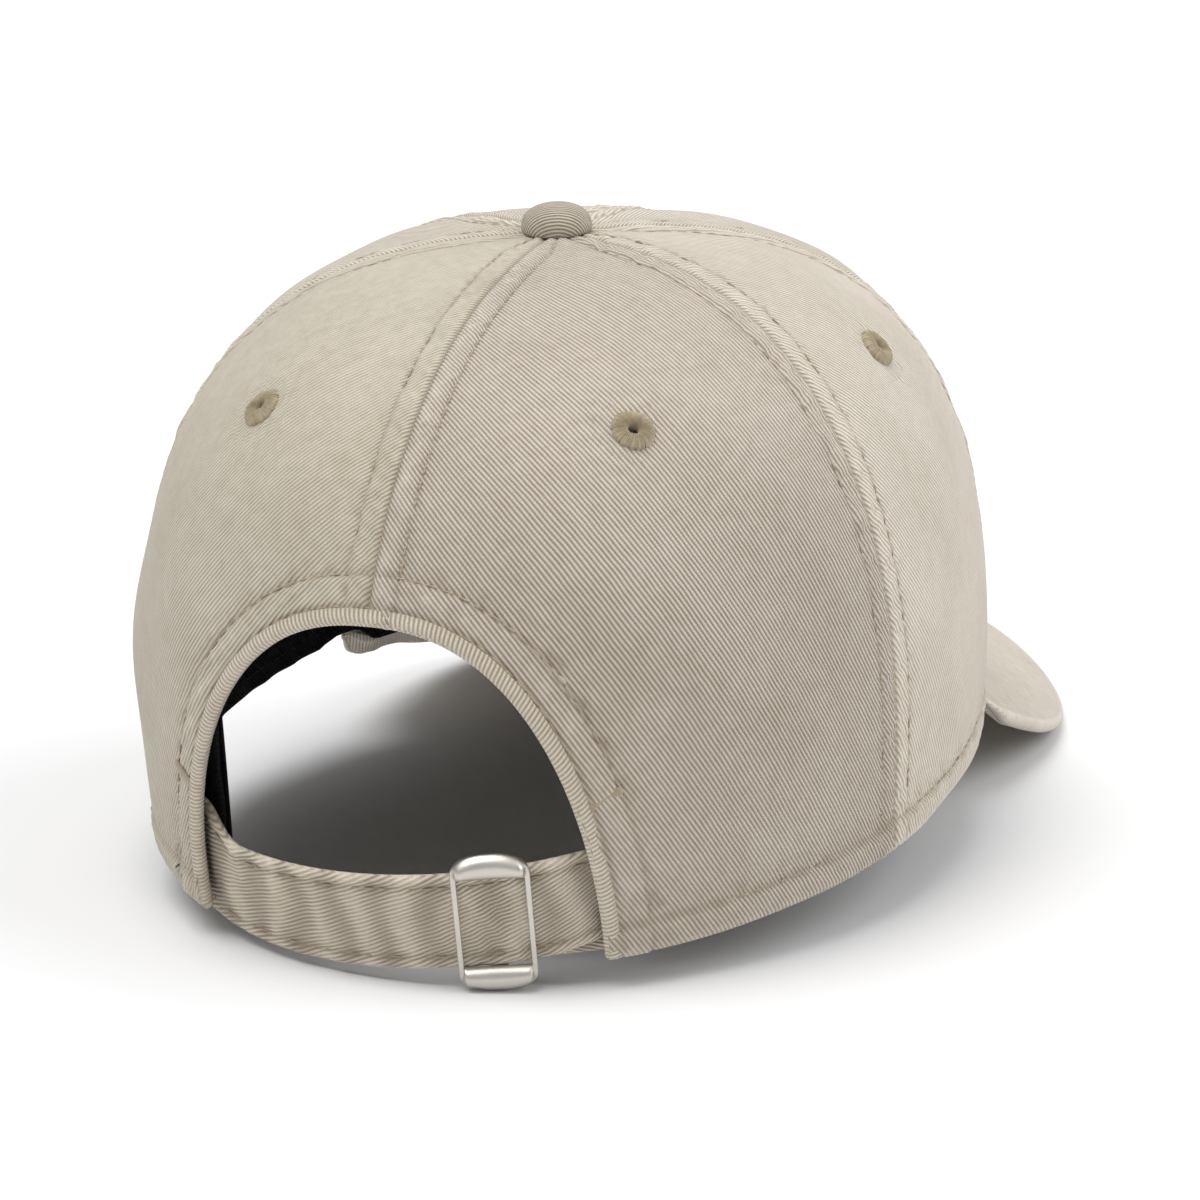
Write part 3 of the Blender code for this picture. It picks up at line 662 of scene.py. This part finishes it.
binding_mat = twill("twill_binding", 78, light=(0.64, 0.57, 0.47), deep=(0.24, 0.195, 0.13))
slab("opening_binding", binding, edge_run[-1], profile_run[-1], 0.0005, binding_mat, 0.0009,
     lambda u, v: 0.00014 * cloth_noise(u / 0.0024, v / 0.003, 61) * (v < 0.006),
     lambda u, v: 0.6 * np.exp(-((v - 0.003) / 0.0015) ** 2) - 0.8 * np.exp(-(v / 0.0008) ** 2),
     replaces=["opening_facing"])
along_edge = np.linspace(0.0015, edge_run[-1] - 0.0015, 300)
edge_rows = []
for wide, above in ((0.0024, -0.00012), (0.0079, -0.00012)):
    p, out, away = near_opening(along_edge, np.full(300, wide))
    edge_rows.append((to_world(p + out * above), turned(out)))
stitches("opening_topstitching", edge_rows, seam_thread)
tack_rows = []
for at_run in (0.024, edge_run[-1] - 0.028):
    for k in range(17):
        p, out, away = near_opening(at_run + np.array([-0.0008, 0.0008]), np.full(2, 0.0022 + 0.00036 * k))
        tack_rows.append((to_world(p + out * 0.0004), turned(out)))
stitches("opening_bartacks", tack_rows, seam_thread, length=0.0015, gap=0.0001, radius=0.00020)

tack_phi, tack_z = math.radians(54.0) + np.array([-0.012, 0.016]), np.array([0.0032, 0.0052])
stitches("hem_tack", [on_crown(tack_phi, rise_of(tack_z), 0.0006)], black_thread, length=0.0024, gap=0.0001,
         radius=0.00022)

# ---------------------------------------------------------------- eyelets
# Vent holes worked by machine: a dense ring of radial satin stitches over the cut edge, on
# both faces of the cloth.
eyelet_thread = thread_material("eyelet_thread", (0.40, 0.33, 0.215))


def eyelet_ring(name, place, seed):
    rng = np.random.RandomState(seed)
    threads, per = 64, 6
    steps = threads * per
    reach = np.repeat(rng.uniform(-0.00020, 0.00016, threads), per)
    lean = np.repeat(rng.uniform(-0.018, 0.018, threads), per)
    high = np.repeat(rng.uniform(-0.00010, 0.00010, threads), per)
    groove = np.tile(np.sin(np.linspace(0, math.pi, per, endpoint=False) + 0.25) ** 0.7, threads)
    angle = np.linspace(0, 2 * math.pi, steps, endpoint=False)
    rings = []
    for t in np.linspace(0, 1, 15):
        bend = math.pi * t
        radius = 0.00095 + (0.0038 - 0.00095) * ((1 - math.cos(bend)) / 2) + reach * t
        height = -0.0004 + 0.00165 * math.sin(bend) ** 0.75 * (1 - 0.30 * t) + (groove
                - 0.6) * 0.00034 * math.sin(bend)
        height = height + high * math.sin(bend)
        turn = angle + lean * t * 3
        rings.append(np.stack([radius * np.cos(turn), radius * np.sin(turn), height], -1))
    front = rings
    back = [np.stack([r[:, 0], r[:, 1], -0.0009 - (r[:, 2] * 0.8)], -1) for r in front[::-1]]
    skins = np.concatenate(front + back)
    count = len(front) + len(back)
    faces = grid_faces(count, steps, flip=True, ring=True)
    faces += [((count - 1) * steps + j, (count - 1) * steps + (j + 1) % steps, (j + 1) % steps,
               j) for j in range(steps)]
    rows = np.array(place)
    obj = mesh_piece("ring_" + name, skins @ rows[:3, :3].T + rows[:3, 3], faces)
    face_outward(obj)
    obj.data.materials.append(eyelet_thread)
    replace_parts(obj, name)
    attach(obj, "crown")


for k, which in enumerate(eyelet_places):
    for side, word in ((1, "left"), (-1, "right")):
        phi, rise = (np.array(v) for v in eyelet_spot(which, side))
        out = Vector(crown_out(phi, rise))
        place = (cap_place @ Matrix.Translation(Vector(crown_surface(phi, rise)) - out * 0.0003)
                 @ out.to_track_quat("Z", "Y").to_matrix().to_4x4())
        eyelet_ring("eyelet_%s_%s" % (which, word), place, 20 + k + side)

# ---------------------------------------------------------------- top button
# A pressed metal shell covered in the same twill and clinched through the six panel tips
# to a washer inside.
button_radius, button_height = 0.0066, 0.0052
button_place = cap_place @ Matrix.Translation((0, 0, crown_height))
button_rows = np.array(button_place)


def lathe(name, profile, mat, node_name, steps=64):
    pts = np.array([[(r * math.cos(2 * math.pi * k / steps), r * math.sin(2 * math.pi * k / steps), z)
                     for k in range(steps)] for r, z in profile])
    flat = pts.reshape(-1, 3)
    run = np.concatenate([[0], np.cumsum(np.hypot(*np.diff(np.array(profile), axis=0).T))])
    turn = np.tile(np.linspace(0, 2 * math.pi, steps, endpoint=False), len(profile))
    uv = np.repeat(run, steps)[:, None] * np.stack([np.cos(turn), np.sin(turn)], -1)
    faces = grid_faces(len(profile), steps, ring=True)
    obj = mesh_piece(name, flat @ button_rows[:3, :3].T + button_rows[:3, 3], faces, uv,
                     wear_and_painted_light=0.35 * np.exp(-((flat[:, 2] - 0.0015) / 0.001) ** 2))
    face_outward(obj, 1e-6)
    obj.data.materials.append(mat)
    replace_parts(obj, node_name)
    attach(obj, "crown")
    return obj


def metal(name, colour, rough=0.32, grain=0.4):
    mat = bpy.data.materials.new(name)
    mat.use_nodes = True
    tree = mat.node_tree
    bsdf = tree.nodes["Principled BSDF"]
    where = node(tree, "ShaderNodeTexCoord").outputs["Object"]
    bsdf.inputs["Metallic"].default_value = 1.0
    worn = noise(tree, where, 260.0, 5.0)
    tree.links.new(blend_colour(tree, worn, tuple(0.82 * k for k in colour), colour),
                   bsdf.inputs["Base Color"])
    tree.links.new(maths(tree, "MULTIPLY_ADD", worn, 0.22, rough - 0.1), bsdf.inputs["Roughness"])
    bump = node(tree, "ShaderNodeBump", Strength=grain, Distance=0.00004)
    tree.links.new(noise(tree, where, 2600.0, 3.0), bump.inputs["Height"])
    tree.links.new(bump.outputs[0], bsdf.inputs["Normal"])
    return mat


dome = [(0.0, button_height)] + [(button_radius * math.sin(a) ** 0.9,
                                  0.0006 + (button_height - 0.0006) * math.cos(a) ** 0.8)
                                 for a in np.linspace(0.06, math.pi / 2, 26)]
dome += [(button_radius - 0.0001, 0.0002), (button_radius - 0.0007, -0.0002),
         (button_radius - 0.0012, 0.0004)]
lathe("button_cloth", dome, twill("twill_button", 20, pitch=0.00068, light=(0.54, 0.475, 0.385),
                                  deep=(0.17, 0.14, 0.09)), "button_cover")
button_metal = metal("button_shell", (0.55, 0.54, 0.52))
lathe("button_shell_inner", [(0.0, 0.0040)] + [(0.0054 * math.sin(a), 0.0010 + 0.0030 * math.cos(a))
      for a in np.linspace(0.2, math.pi / 2, 10)] + [(0.0014, 0.0008), (0.0014, -0.0048), (0.0, -0.0050)],
      button_metal, "button_core", 32)
lathe("button_clinch_washer", [(0.0018, -0.0032), (0.0019, -0.0040), (0.0034, -0.00405), (0.0048, -0.0040),
                               (0.0056, -0.0035), (0.0057, -0.0030), (0.0054, -0.0028), (0.0018, -0.0031)],
      button_metal, "button_washer", 48)

# ---------------------------------------------------------------- sweatband and label
# A black cotton band folded double, sewn round the inside of the hem and open behind the
# strap; the label is a small folded tape caught in its top edge.
band_height, band_thick, band_inset = 0.0320, 0.0011, 0.0021
strap_radius, strap_thick, strap_height = 0.0612, 0.0014, 0.0182
strap_y, strap_z, strap_lean, strap_roll = 0.0375, 0.0140, 7.0, 4.1
short_thick, short_height, short_end, short_skew = 0.0007, 0.0164, 146.0, 8.0


def band_surface(phi, z):
    """Inside of the sweatband's outer face, held in where the strap runs behind it."""
    rise = rise_of(np.clip(z, 0, crown_height))
    p = crown_surface(phi, rise) - crown_out(phi, rise) * band_inset
    x, y = p[..., 0], p[..., 1] - strap_y
    r, angle = np.hypot(x, y), np.degrees(np.arctan2(y, x))
    thick = strap_thick + np.where(angle > 90, 0.0006 + 2 * short_thick + 0.0006, 0.0)
    past = np.maximum(0, np.maximum(angle, 180 - angle) - np.where(angle > 90, 153.5, 145.0))
    limit = strap_radius - thick - 0.0036 + 0.00009 * past + 0.00006 * past * past
    r = np.where(angle > 0, np.minimum(r, limit), r)
    q = np.stack([r * np.cos(np.radians(angle)), strap_y + r * np.sin(np.radians(angle)), z + 0 * r], -1)
    inward = np.stack([0 * r, np.full(r.shape, strap_y * 0.3), z + 0 * r], -1) - p
    return q, inward / np.linalg.norm(inward, axis=-1, keepdims=True)


band_start, band_stop = math.radians(123.5), math.radians(416.5)
band_length = 0.520


def band_at(u, v, depth=band_thick / 2):
    phi = band_start + (band_stop - band_start) * u / band_length
    low = hem_height(phi) + 0.0003 - 0.0036 * ease((-np.sin(phi) - 0.43) / 0.06)
    q, inward = band_surface(phi, low + (band_height - low) * v / band_height)
    return to_world(q + inward * depth), turned(inward)


band_mat = black_cloth("band_cotton", 0.0008, 0.00014, 0.012)
slab("sweatband_cloth", band_at, band_length, band_height, band_thick, band_mat, 0.0020,
     lambda u, v: (0.00030 * cloth_noise(u / 0.010, v / 0.02, 44) + 0.00018 * cloth_noise(u / 0.0035,
             v / 0.006, 45)
                   * np.exp(-((v - 0.0035) / 0.004) ** 2) - 0.00025 * np.exp(-((v - 0.0035) / 0.0005) ** 2)
                   - 0.0002 * np.exp(-((v - band_height + 0.0025) / 0.0005) ** 2)),
     replaces=["sweatband"])
band_rows = []
run = np.linspace(0.002, band_length - 0.002, 700)
for v in (0.0035, band_height - 0.0025):
    mid, out = band_at(run, np.full(700, v), band_thick)
    band_rows.append((mid, out))
stitches("sweatband_stitching", band_rows, black_thread)

label_width, label_height = 0.0260, 0.0265
label_phi = math.radians(46)


def label_at(u, v):
    phi = label_phi + (u - label_width / 2) / float(girth(np.array(label_phi), np.array(0.1)))
    q, inward = band_surface(phi, 0.007 + v)
    off = band_thick + 0.0015 + 0.00025
    return to_world(q + inward * off), turned(inward)


slab("label_tape", label_at, label_width, label_height, 0.0005,
     black_cloth("label_satin", 0.0005, 0.00004, 0.016, 0.0),
     0.0010, replaces=["care_label"])

# ---------------------------------------------------------------- visor
# A stiff curved board between two covers of twill; the upper one rolls over the rim and is
# seamed to the lower one just under the edge.
cover_thick, board_thick = 0.0006, 0.0013
visor_half, visor_side, visor_front = 0.0757, -0.083, -0.172
side_lift, front_droop = 0.0085, 0.0020      # how the wearer's left side is bent less than the right


def visor_rim(u):
    side, a = np.where(u > 0, -1.0, 1.0), (1 - np.abs(u)) / 0.80
    k = np.clip(a / 0.3125, 0, 1)
    b = np.clip((a * 0.80 - 0.25) / 0.75, 0, 1) * math.pi / 2
    x = np.where(a <= 0.3125, 0.0722 + (visor_half - 0.0722) * np.sin(k * math.pi / 2),
                 visor_half * np.maximum(0, np.cos(b)) ** (2 / 2.15))
    y = np.where(a <= 0.3125, -0.0430 + (visor_side + 0.0430) * k,
                 visor_side + (visor_front - visor_side) * np.sin(b) ** (2 / 2.15))
    tuck = 1 - ease((1 - np.abs(u)) / 0.05)                                    # runs out into the hem
    return side * (x - 0.0020 * tuck), y + 0.0006 * tuck


def visor_point(u, v, drop, over=0.0):
    phi = np.radians(270 - u * (90 - temple))
    root = crown_surface(phi, 0 * phi)
    root = root * (1 - 0.0010 / np.hypot(root[..., 0], root[..., 1]))[..., None]
    x1, y1 = visor_rim(u)
    dx, dy = x1 - root[..., 0], y1 - root[..., 1]
    long = np.hypot(dx, dy)
    x, y = root[..., 0] + dx * v + dx / long * over, root[..., 1] + dy * v + dy / long * over
    up = np.stack([x / np.sqrt(visor_bend ** 2 - x * x), np.full(x.shape, -visor_fall),
                   np.ones(x.shape)], -1)
    up /= np.linalg.norm(up, axis=-1, keepdims=True)
    drop = np.asarray(drop) * (0.30 + 0.70 * ease((1 - np.abs(u)) / 0.09))     # thins out at the corners
    mix = np.clip(2 * v, 0, 1)[..., None]
    way = np.array([0, 0, 1.0]) * (1 - mix) + up * mix
    way /= np.linalg.norm(way, axis=-1, keepdims=True)
    back = ease((y + 0.165) / 0.07)
    # fades out at the crown and at the corner
    sprung = (side_lift * back - front_droop) * ease(1.2
            * v) * ease((x - 0.030) / 0.04) * ease((1 - np.abs(u)) / 0.25)
    return np.stack([x, y, visor_height(x, y) + sprung], -1) - way * np.asarray(drop)[..., None], up


visor_deep = 2 * (cover_thick + 0.0003) + board_thick
around = np.sign(np.linspace(-1, 1, 261)) * np.abs(np.linspace(-1, 1, 261)) ** 0.94
outward_steps = np.concatenate([np.linspace(0, 0.96, 62), np.linspace(0.965, 0.992, 6)])


def visor_cover(name, upper, mat):
    u, v = np.meshgrid(around, outward_steps, indexing="ij")
    rim_u = np.repeat(around[:, None], 9, 1)
    if upper:
        flat, up = visor_point(u, v, 0 * u)
        slow = 0.00022 * cloth_noise(flat[..., 0] / 0.012, flat[..., 1] / 0.010, 71)
        flat = flat + up * (slow * ease(v * 6) * (1 - v ** 8))[..., None]
        turn = np.linspace(0, math.pi, 9)[None]
        low = (visor_deep + cover_thick * 0.4) / 2
        drop, over = low - low * np.cos(turn) + 0 * rim_u, low * 0.85 * np.sin(turn) + 0 * rim_u
        roll, _ = visor_point(rim_u, np.full(rim_u.shape, 0.994), drop, over)
        under, _ = visor_point(rim_u[:, :3], np.array([[0.985, 0.976, 0.968]]) + 0 * rim_u[:, :3],
                               np.full((len(around), 3), visor_deep + cover_thick * 0.3))
        inner, _ = visor_point(u[:, ::-1], v[:, ::-1], np.full(u.shape, cover_thick))
        skin = np.concatenate([flat, roll, under, inner], 1)
    else:
        flat, up = visor_point(u, v * 0.985, np.full(u.shape, visor_deep + cover_thick))
        flat = flat - up * (0.00015 * cloth_noise(flat[..., 0] / 0.011, flat[..., 1] / 0.012, 72))[...,
                None]
        inner, _ = visor_point(u[:, ::-1], v[:, ::-1] * 0.985, np.full(u.shape, visor_deep + 0.00005))
        skin = np.concatenate([flat, inner], 1)
    rows, cols = skin.shape[:2]
    arc = np.concatenate([np.zeros((rows, 1)),
                          np.cumsum(np.linalg.norm(np.diff(skin, axis=1), axis=-1), 1)], 1)
    uv = np.stack([skin[..., 0], skin[..., 1] * 1.06 - 0.6 * arc * (arc > arc[:, [67]])], -1)
    worn = np.zeros((rows, cols))
    if upper:
        worn[:, 66:74] = 0.7
        worn += 0.25 * np.exp(-((arc - 0.002) / 0.003) ** 2)
    ends = [tuple(range(cols)), tuple(range((rows - 1) * cols, rows * cols))[::-1]]
    obj = mesh_piece(name, to_world(skin.reshape(-1, 3)), grid_faces(rows, cols, flip=True) + ends,
                     uv.reshape(-1, 2),
                     wear_and_painted_light=worn.ravel())
    face_outward(obj)
    obj.data.materials.append(mat)
    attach(obj, "crown")
    return obj


visor_mat = twill("twill_visor", 62, light=(0.59, 0.53, 0.46), deep=(0.38, 0.33, 0.265), relief=0.00014)
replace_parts(visor_cover("visor_cover_top", True, visor_mat), "visor_top")
# painted light: the underside's twill is a lighter copy of the cloth, standing in for light reaching the
# underside
visor_under_mat = twill("twill_visor_under", 118, light=(0.72, 0.65, 0.55), deep=(0.58, 0.51, 0.41),
                        relief=0.00010)
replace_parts(visor_cover("visor_cover_under", False, visor_under_mat), "visor_under")
board_u, board_v = np.meshgrid(around[::2], np.linspace(0, 0.985, 40), indexing="ij")
board_top, _ = visor_point(board_u, board_v, np.full(board_u.shape, cover_thick + 0.0003), -0.0006)
board_low, _ = visor_point(board_u, board_v, np.full(board_u.shape, cover_thick + 0.0003 + board_thick),
                           -0.0006)
board_skin = np.concatenate([board_top, board_low[:, ::-1], board_top[:, :1]], 1)
board_mat = bpy.data.materials.new("visor_board_plastic")
board_mat.use_nodes = True
board_bsdf = board_mat.node_tree.nodes["Principled BSDF"]
board_mat.node_tree.links.new(blend_colour(board_mat.node_tree, noise(
    board_mat.node_tree, node(board_mat.node_tree, "ShaderNodeTexCoord").outputs["Object"], 300.0),
    (0.62, 0.61, 0.58), (0.72, 0.71, 0.68)), board_bsdf.inputs["Base Color"])
board_bsdf.inputs["Roughness"].default_value = 0.45
board_rows, board_cols = board_skin.shape[:2]
board = mesh_piece("visor_stiffener", to_world(board_skin.reshape(-1, 3)),
                   grid_faces(board_rows, board_cols)
                   + [tuple(range(board_cols - 1))[::-1],
                      tuple(range((board_rows - 1) * board_cols, board_rows * board_cols - 1))])
board.data.materials.append(board_mat)
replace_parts(board, "visor_board")
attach(board, "crown")

# ---------------------------------------------------------------- strap
# Both straps are twill folded double and topstitched inside each edge. The long one comes
# out of the left panel, threads the buckle and tucks under the right panel; the short one
# loops round the buckle's centre bar.
strap_place = (cap_place @ Matrix.Translation((0, strap_y, strap_z))
               @ Matrix.Rotation(math.radians(-strap_lean), 4,
                                 "X") @ Matrix.Rotation(math.radians(strap_roll), 4, "Y"))
strap_rows = np.array(strap_place)
buckle_at, buckle_low = math.radians(109.4), 0.0005
strap_start, strap_end = math.radians(34.0), math.radians(141.0)


def strap_world(p):
    return p @ strap_rows[:3, :3].T + strap_rows[:3, 3]


def long_strap(u, v):
    r = strap_radius - strap_thick / 2
    a = strap_start + u / r
    over = ease((0.085 - np.abs(a - buckle_at)) / 0.04)                       # pushed up by the centre bar
    sag = 0.00045 * cloth_noise(a / 0.20, v / 0.06, 83) * np.sin(math.pi * v / strap_height) * (1 - over)
    rr = r + 0.0002 * over + sag
    hitch = 0.0016 * ease((a - buckle_at - 0.13) / 0.25) * (1 - v / strap_height)
    curl = ease((math.radians(63) - a) / math.radians(13)) * (v / strap_height) ** 1.5
    p = np.stack([(rr - 0.0020 * curl) * np.cos(a), (rr - 0.0020 * curl) * np.sin(a),
                  v - strap_height / 2 + 0.0038 * curl + hitch], -1)
    out = np.stack([np.cos(a), np.sin(a), 0.25 * curl], -1)
    return strap_world(p), out @ strap_rows[:3, :3].T


def ripple(u, v, seed):
    return np.sin(2 * math.pi * u / 0.009 + 1.3 * cloth_noise(u / 0.03, v / 0.03, seed + 5))


def strap_relief(height, seed, folds):
    def relief(u, v):
        edge = np.minimum(v, height - v)
        lift = 0.00024 * np.exp(-((edge - 0.0011) / 0.0010) ** 2) - 0.00034 * np.exp(-((edge
                - 0.0024) / 0.00042) ** 2)
        lift += 0.00012 * cloth_noise(u / 0.0045, v / 0.005,
                                      seed) * np.exp(-((edge - 0.0022) / 0.0016) ** 2)
        for centre, reach in folds:
            lift += 0.00024 * np.exp(-((u - centre) / reach) ** 2) * cloth_noise(u / 0.0042, v / 0.010,
                    seed + 2)
        lift += 0.00022 * ripple(u, v, seed) * ease(edge / 0.003)
        return lift + 0.00012 * cloth_noise(u / 0.011, v / 0.009, seed + 3)
    return relief


def strap_wear_and_painted_light(height, seed):
    def wear_and_painted_light(u, v):
        edge = np.minimum(v, height - v)
        rub = cloth_noise(u / 0.0035, v / 0.002, seed)
        # pale folded edges: rubbed wear; dark line at the stitching: painted shade in its groove; light and
        # dark ripple bands: painted light and shade of the folds
        return (0.95 * np.exp(-(edge / 0.0011) ** 2) * (0.75 + 0.4 * rub) - 0.9
                * np.exp(-((edge - 0.0024) / 0.0006) ** 2)
                + 0.25 * cloth_noise(u / 0.014, v / 0.020, seed + 1) + 0.70 * ripple(u, v, seed - 1))
    return wear_and_painted_light


strap_mat = twill("twill_strap", 20, 0.00072, (0.62, 0.55, 0.44), (0.25, 0.205, 0.145), 0.00030)
long_length = (strap_radius - strap_thick / 2) * (strap_end - strap_start)
buckle_u = (strap_radius - strap_thick / 2) * (buckle_at - strap_start)
slab("long_strap", long_strap, long_length, strap_height, strap_thick, strap_mat, 0.0008,
     strap_relief(strap_height, 81, ((buckle_u, 0.009), (long_length - 0.012, 0.006))),
     strap_wear_and_painted_light(strap_height, 82), replaces=["strap_long"])
run = np.linspace(0.001, long_length - 0.001, 260)
rows = []
for v in (0.0024, strap_height - 0.0024):
    for inside in (False, True):
        mid, out = long_strap(run, np.full(260, v))
        rows.append((mid + out * (strap_thick / 2 - 0.00012) * (-1 if inside else 1),
                     -out if inside else out))
stitches("long_strap_stitching", rows, seam_thread, 0.0020, 0.0006, 0.00015)

front_r = strap_radius - strap_thick - 0.0003
gap_r, reach = 0.0011 + 0.0006, (0.0015 + 0.0006 + short_thick / 2) / strap_radius
short_line = [(t, front_r - short_thick / 2) for t in np.linspace(math.radians(short_end),
        buckle_at - reach * 0.75, 30)]
back_r = front_r - short_thick / 2 - gap_r - short_thick
for k in np.linspace(0.15, 0.85, 6):
    bend = math.pi * k
    short_line.append((buckle_at - reach * (0.75 + 0.45 * math.sin(bend)),
                       front_r - short_thick / 2 - (gap_r + short_thick) * (1 - math.cos(bend)) / 2))
short_line += [(t, back_r) for t in np.linspace(buckle_at - reach * 0.75, buckle_at + reach * 0.7, 5)]
near_r = front_r - short_thick / 2 - 0.0003 - short_thick
short_line += [(t, back_r + (near_r - back_r) * float(ease((t - buckle_at) / reach / 2.6 - 0.3)))
               for t in np.linspace(buckle_at + reach * 1.3, math.radians(short_end), 30)]
short_points = np.array([(r * math.cos(t), r * math.sin(t)) for t, r in short_line])
short_run = np.concatenate([[0], np.cumsum(np.linalg.norm(np.diff(short_points, axis=0), axis=1))])


def short_strap(u, v):
    x, y = np.interp(u, short_run, short_points[:, 0]), np.interp(u, short_run, short_points[:, 1])
    d = 0.0004
    tx = np.interp(u + d, short_run, short_points[:, 0]) - np.interp(u - d, short_run, short_points[:, 0])
    ty = np.interp(u + d, short_run, short_points[:, 1]) - np.interp(u - d, short_run, short_points[:, 1])
    past = np.arctan2(y, x) - buckle_at
    z = v - short_height / 2 - (buckle_low + strap_radius * math.tan(math.radians(short_skew)) * past)
    return (strap_world(np.stack([x, y, z], -1)), np.stack([ty, -tx, 0 * tx], -1) @ strap_rows[:3, :3].T)


slab("short_strap_loop", short_strap, short_run[-1], short_height, short_thick, strap_mat, 0.0008,
     strap_relief(short_height, 91, ()), strap_wear_and_painted_light(short_height, 92), body="short_strap",
     replaces=["strap_anchor"])
run = np.linspace(0.001, short_run[-1] / 2 - 0.004, 120)
rows = []
for v in (0.0022, short_height - 0.0022):
    mid, out = short_strap(run, np.full(120, v))
    rows.append((mid + out * (short_thick / 2 + 0.00002), out))
stitches("short_strap_stitching", rows, seam_thread, 0.0020, 0.0006, 0.00015, body="short_strap")

# ---------------------------------------------------------------- buckle
# Stamped slide buckle in satin nickel: two thin side bars, domed ends and a centre bar that
# the short strap is looped round.
buckle_half, side_bar, buckle_end = 0.0067, 0.0010, 0.0098
window_top, window_foot, dome_top, dome_foot = 0.0088, 0.0082, 0.0036, 0.0031
centre_half, centre_thick, buckle_skew = 0.0015, 0.0011, 4.5
bar_front = strap_radius - strap_thick - 0.0006 - short_thick
buckle_place = np.array(strap_place @ Matrix.Translation((0, 0,
        -buckle_low)) @ Matrix.Rotation(buckle_at, 4, "Z")
                        @ Matrix.Rotation(math.radians(-buckle_skew), 4, "X"))
a = np.linspace(0, 2 * math.pi, 240, endpoint=False) + 0.013
c, s = np.cos(a), np.sin(a)
big = np.maximum(np.abs(c), np.abs(s))
inner_y = (buckle_half - side_bar) * np.clip(1.25 * c / big, -1, 1)
inner_z = np.where(s > 0, window_top, window_foot) * np.clip(1.06 * s / big, -1, 1)
outer_y = buckle_half * np.sign(c) * np.abs(c / big) ** 0.8
dome = np.sqrt(np.maximum(0, 1 - np.abs(outer_y / buckle_half) ** 2.2))
outer_z = (buckle_end + np.where(s > 0, dome_top, dome_foot) * dome) * np.sign(s) * np.abs(s / big) ** 0.9
end_part = ease((np.abs(s) - 0.70) / 0.12)
front_x = strap_radius + 0.0014 + 0.0001 * end_part
back_x = strap_radius + 0.0004 - 0.0002 * end_part
section = np.linspace(0, 2 * math.pi, 20, endpoint=False)
across = 0.5 - 0.5 * np.sign(np.cos(section)) * np.abs(np.cos(section)) ** 0.6
deep = np.sign(np.sin(section)) * np.abs(np.sin(section)) ** 0.6
y = inner_y[:, None] + (outer_y - inner_y)[:, None] * across
z = inner_z[:, None] + (outer_z - inner_z)[:, None] * across
bulge = end_part[:, None] * (0.0015 * (1 - (2 * across - 1) ** 2) - 0.0003 * across ** 2)
x = (front_x + back_x)[:, None] / 2 + (front_x - back_x)[:, None] / 2 * deep + bulge
verts = np.stack([x, y, z], -1).reshape(-1, 3)
faces = [(i * 20 + j, i * 20 + (j + 1) % 20, (i + 1) % 240 * 20 + (j + 1) % 20, (i + 1) % 240 * 20 + j)
         for i in range(240) for j in range(20)]
bar_low, bar_top = bar_front - centre_thick / 2, strap_radius + 0.0006
bar_path = ([(bar_top, 0.0102), (bar_top - 0.0012, 0.0103)]
            + [(bar_low + 0.0008 * (1 - math.sin(t)), 0.0095 + 0.0008 * math.cos(t))
            # leg at each end, bent round the strap's edge
            for t in np.linspace(0, math.pi / 2, 6)])
bar_path = bar_path + [(r, -h) for r, h in bar_path[::-1]]
bar_way = np.gradient(np.array(bar_path), axis=0)
bar_way /= np.linalg.norm(bar_way, axis=1)[:, None]
bar = np.stack([np.stack([r - w[1] * centre_thick / 2 * np.sin(section),
                          centre_half * np.sign(np.cos(section))
                          * np.abs(np.cos(section)) ** 0.6,
                          h + w[0] * centre_thick / 2 * np.sin(section)], -1)
                for (r, h), w in zip(bar_path, bar_way)]).reshape(-1, 3)
faces += grid_faces(len(bar_path), 20, len(verts), ring=True)
verts = np.concatenate([verts, bar]) @ buckle_place[:3, :3].T + buckle_place[:3, 3]
buckle = mesh_piece("slide_buckle", verts, faces)
face_outward(buckle)
buckle.data.materials.append(metal("satin_nickel", (0.66, 0.63, 0.575), 0.38))
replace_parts(buckle, "buckle_frame")
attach(buckle, "buckle")

# ---------------------------------------------------------------- floor, light and camera
floor_mat = bpy.data.materials.new("pale_floor")
floor_mat.use_nodes = True
floor_bsdf = floor_mat.node_tree.nodes["Principled BSDF"]
floor_bsdf.inputs["Base Color"].default_value = (0.82, 0.82, 0.825, 1)
floor_bsdf.inputs["Roughness"].default_value = 0.9
bpy.ops.mesh.primitive_plane_add(size=40, location=(0, 0, -0.0002))
floor = bpy.context.object
floor.name = "floor"
floor.data.materials.append(floor_mat)


for name, towards, strength, softness in (("key", (0.22, 0.22, 0.95), 2.15, 50),
        ("fill", (-0.80, -0.25, 0.60), 1.35, 50)):
    lamp = bpy.data.objects.new(name, bpy.data.lights.new(name, "SUN"))
    lamp.data.energy, lamp.data.angle = strength, math.radians(softness)
    lamp.rotation_euler = (-Vector(towards)).to_track_quat("-Z", "Y").to_euler()
    bpy.context.collection.objects.link(lamp)
world = bpy.data.worlds.new("studio")
world.use_nodes = True
world.node_tree.nodes["Background"].inputs["Color"].default_value = (1, 1, 1, 1)
world.node_tree.nodes["Background"].inputs["Strength"].default_value = 0.5
bpy.context.scene.world = world
bpy.context.scene.view_settings.view_transform = "Standard"

camera = bpy.data.objects.new("camera", bpy.data.cameras.new("camera"))
camera.data.lens, camera.data.sensor_width = 94.2, 36.0
camera_turn = Euler([math.radians(angle) for angle in (69.730, 2.178, -160.114)])
camera_at = Vector((-0.2061, 0.5309, 0.2390))
camera.matrix_world = cap_place @ Matrix.LocRotScale(camera_at, camera_turn, None)
camera.data.clip_start, camera.data.clip_end = 0.01, 30
bpy.context.collection.objects.link(camera)
bpy.context.scene.camera = camera
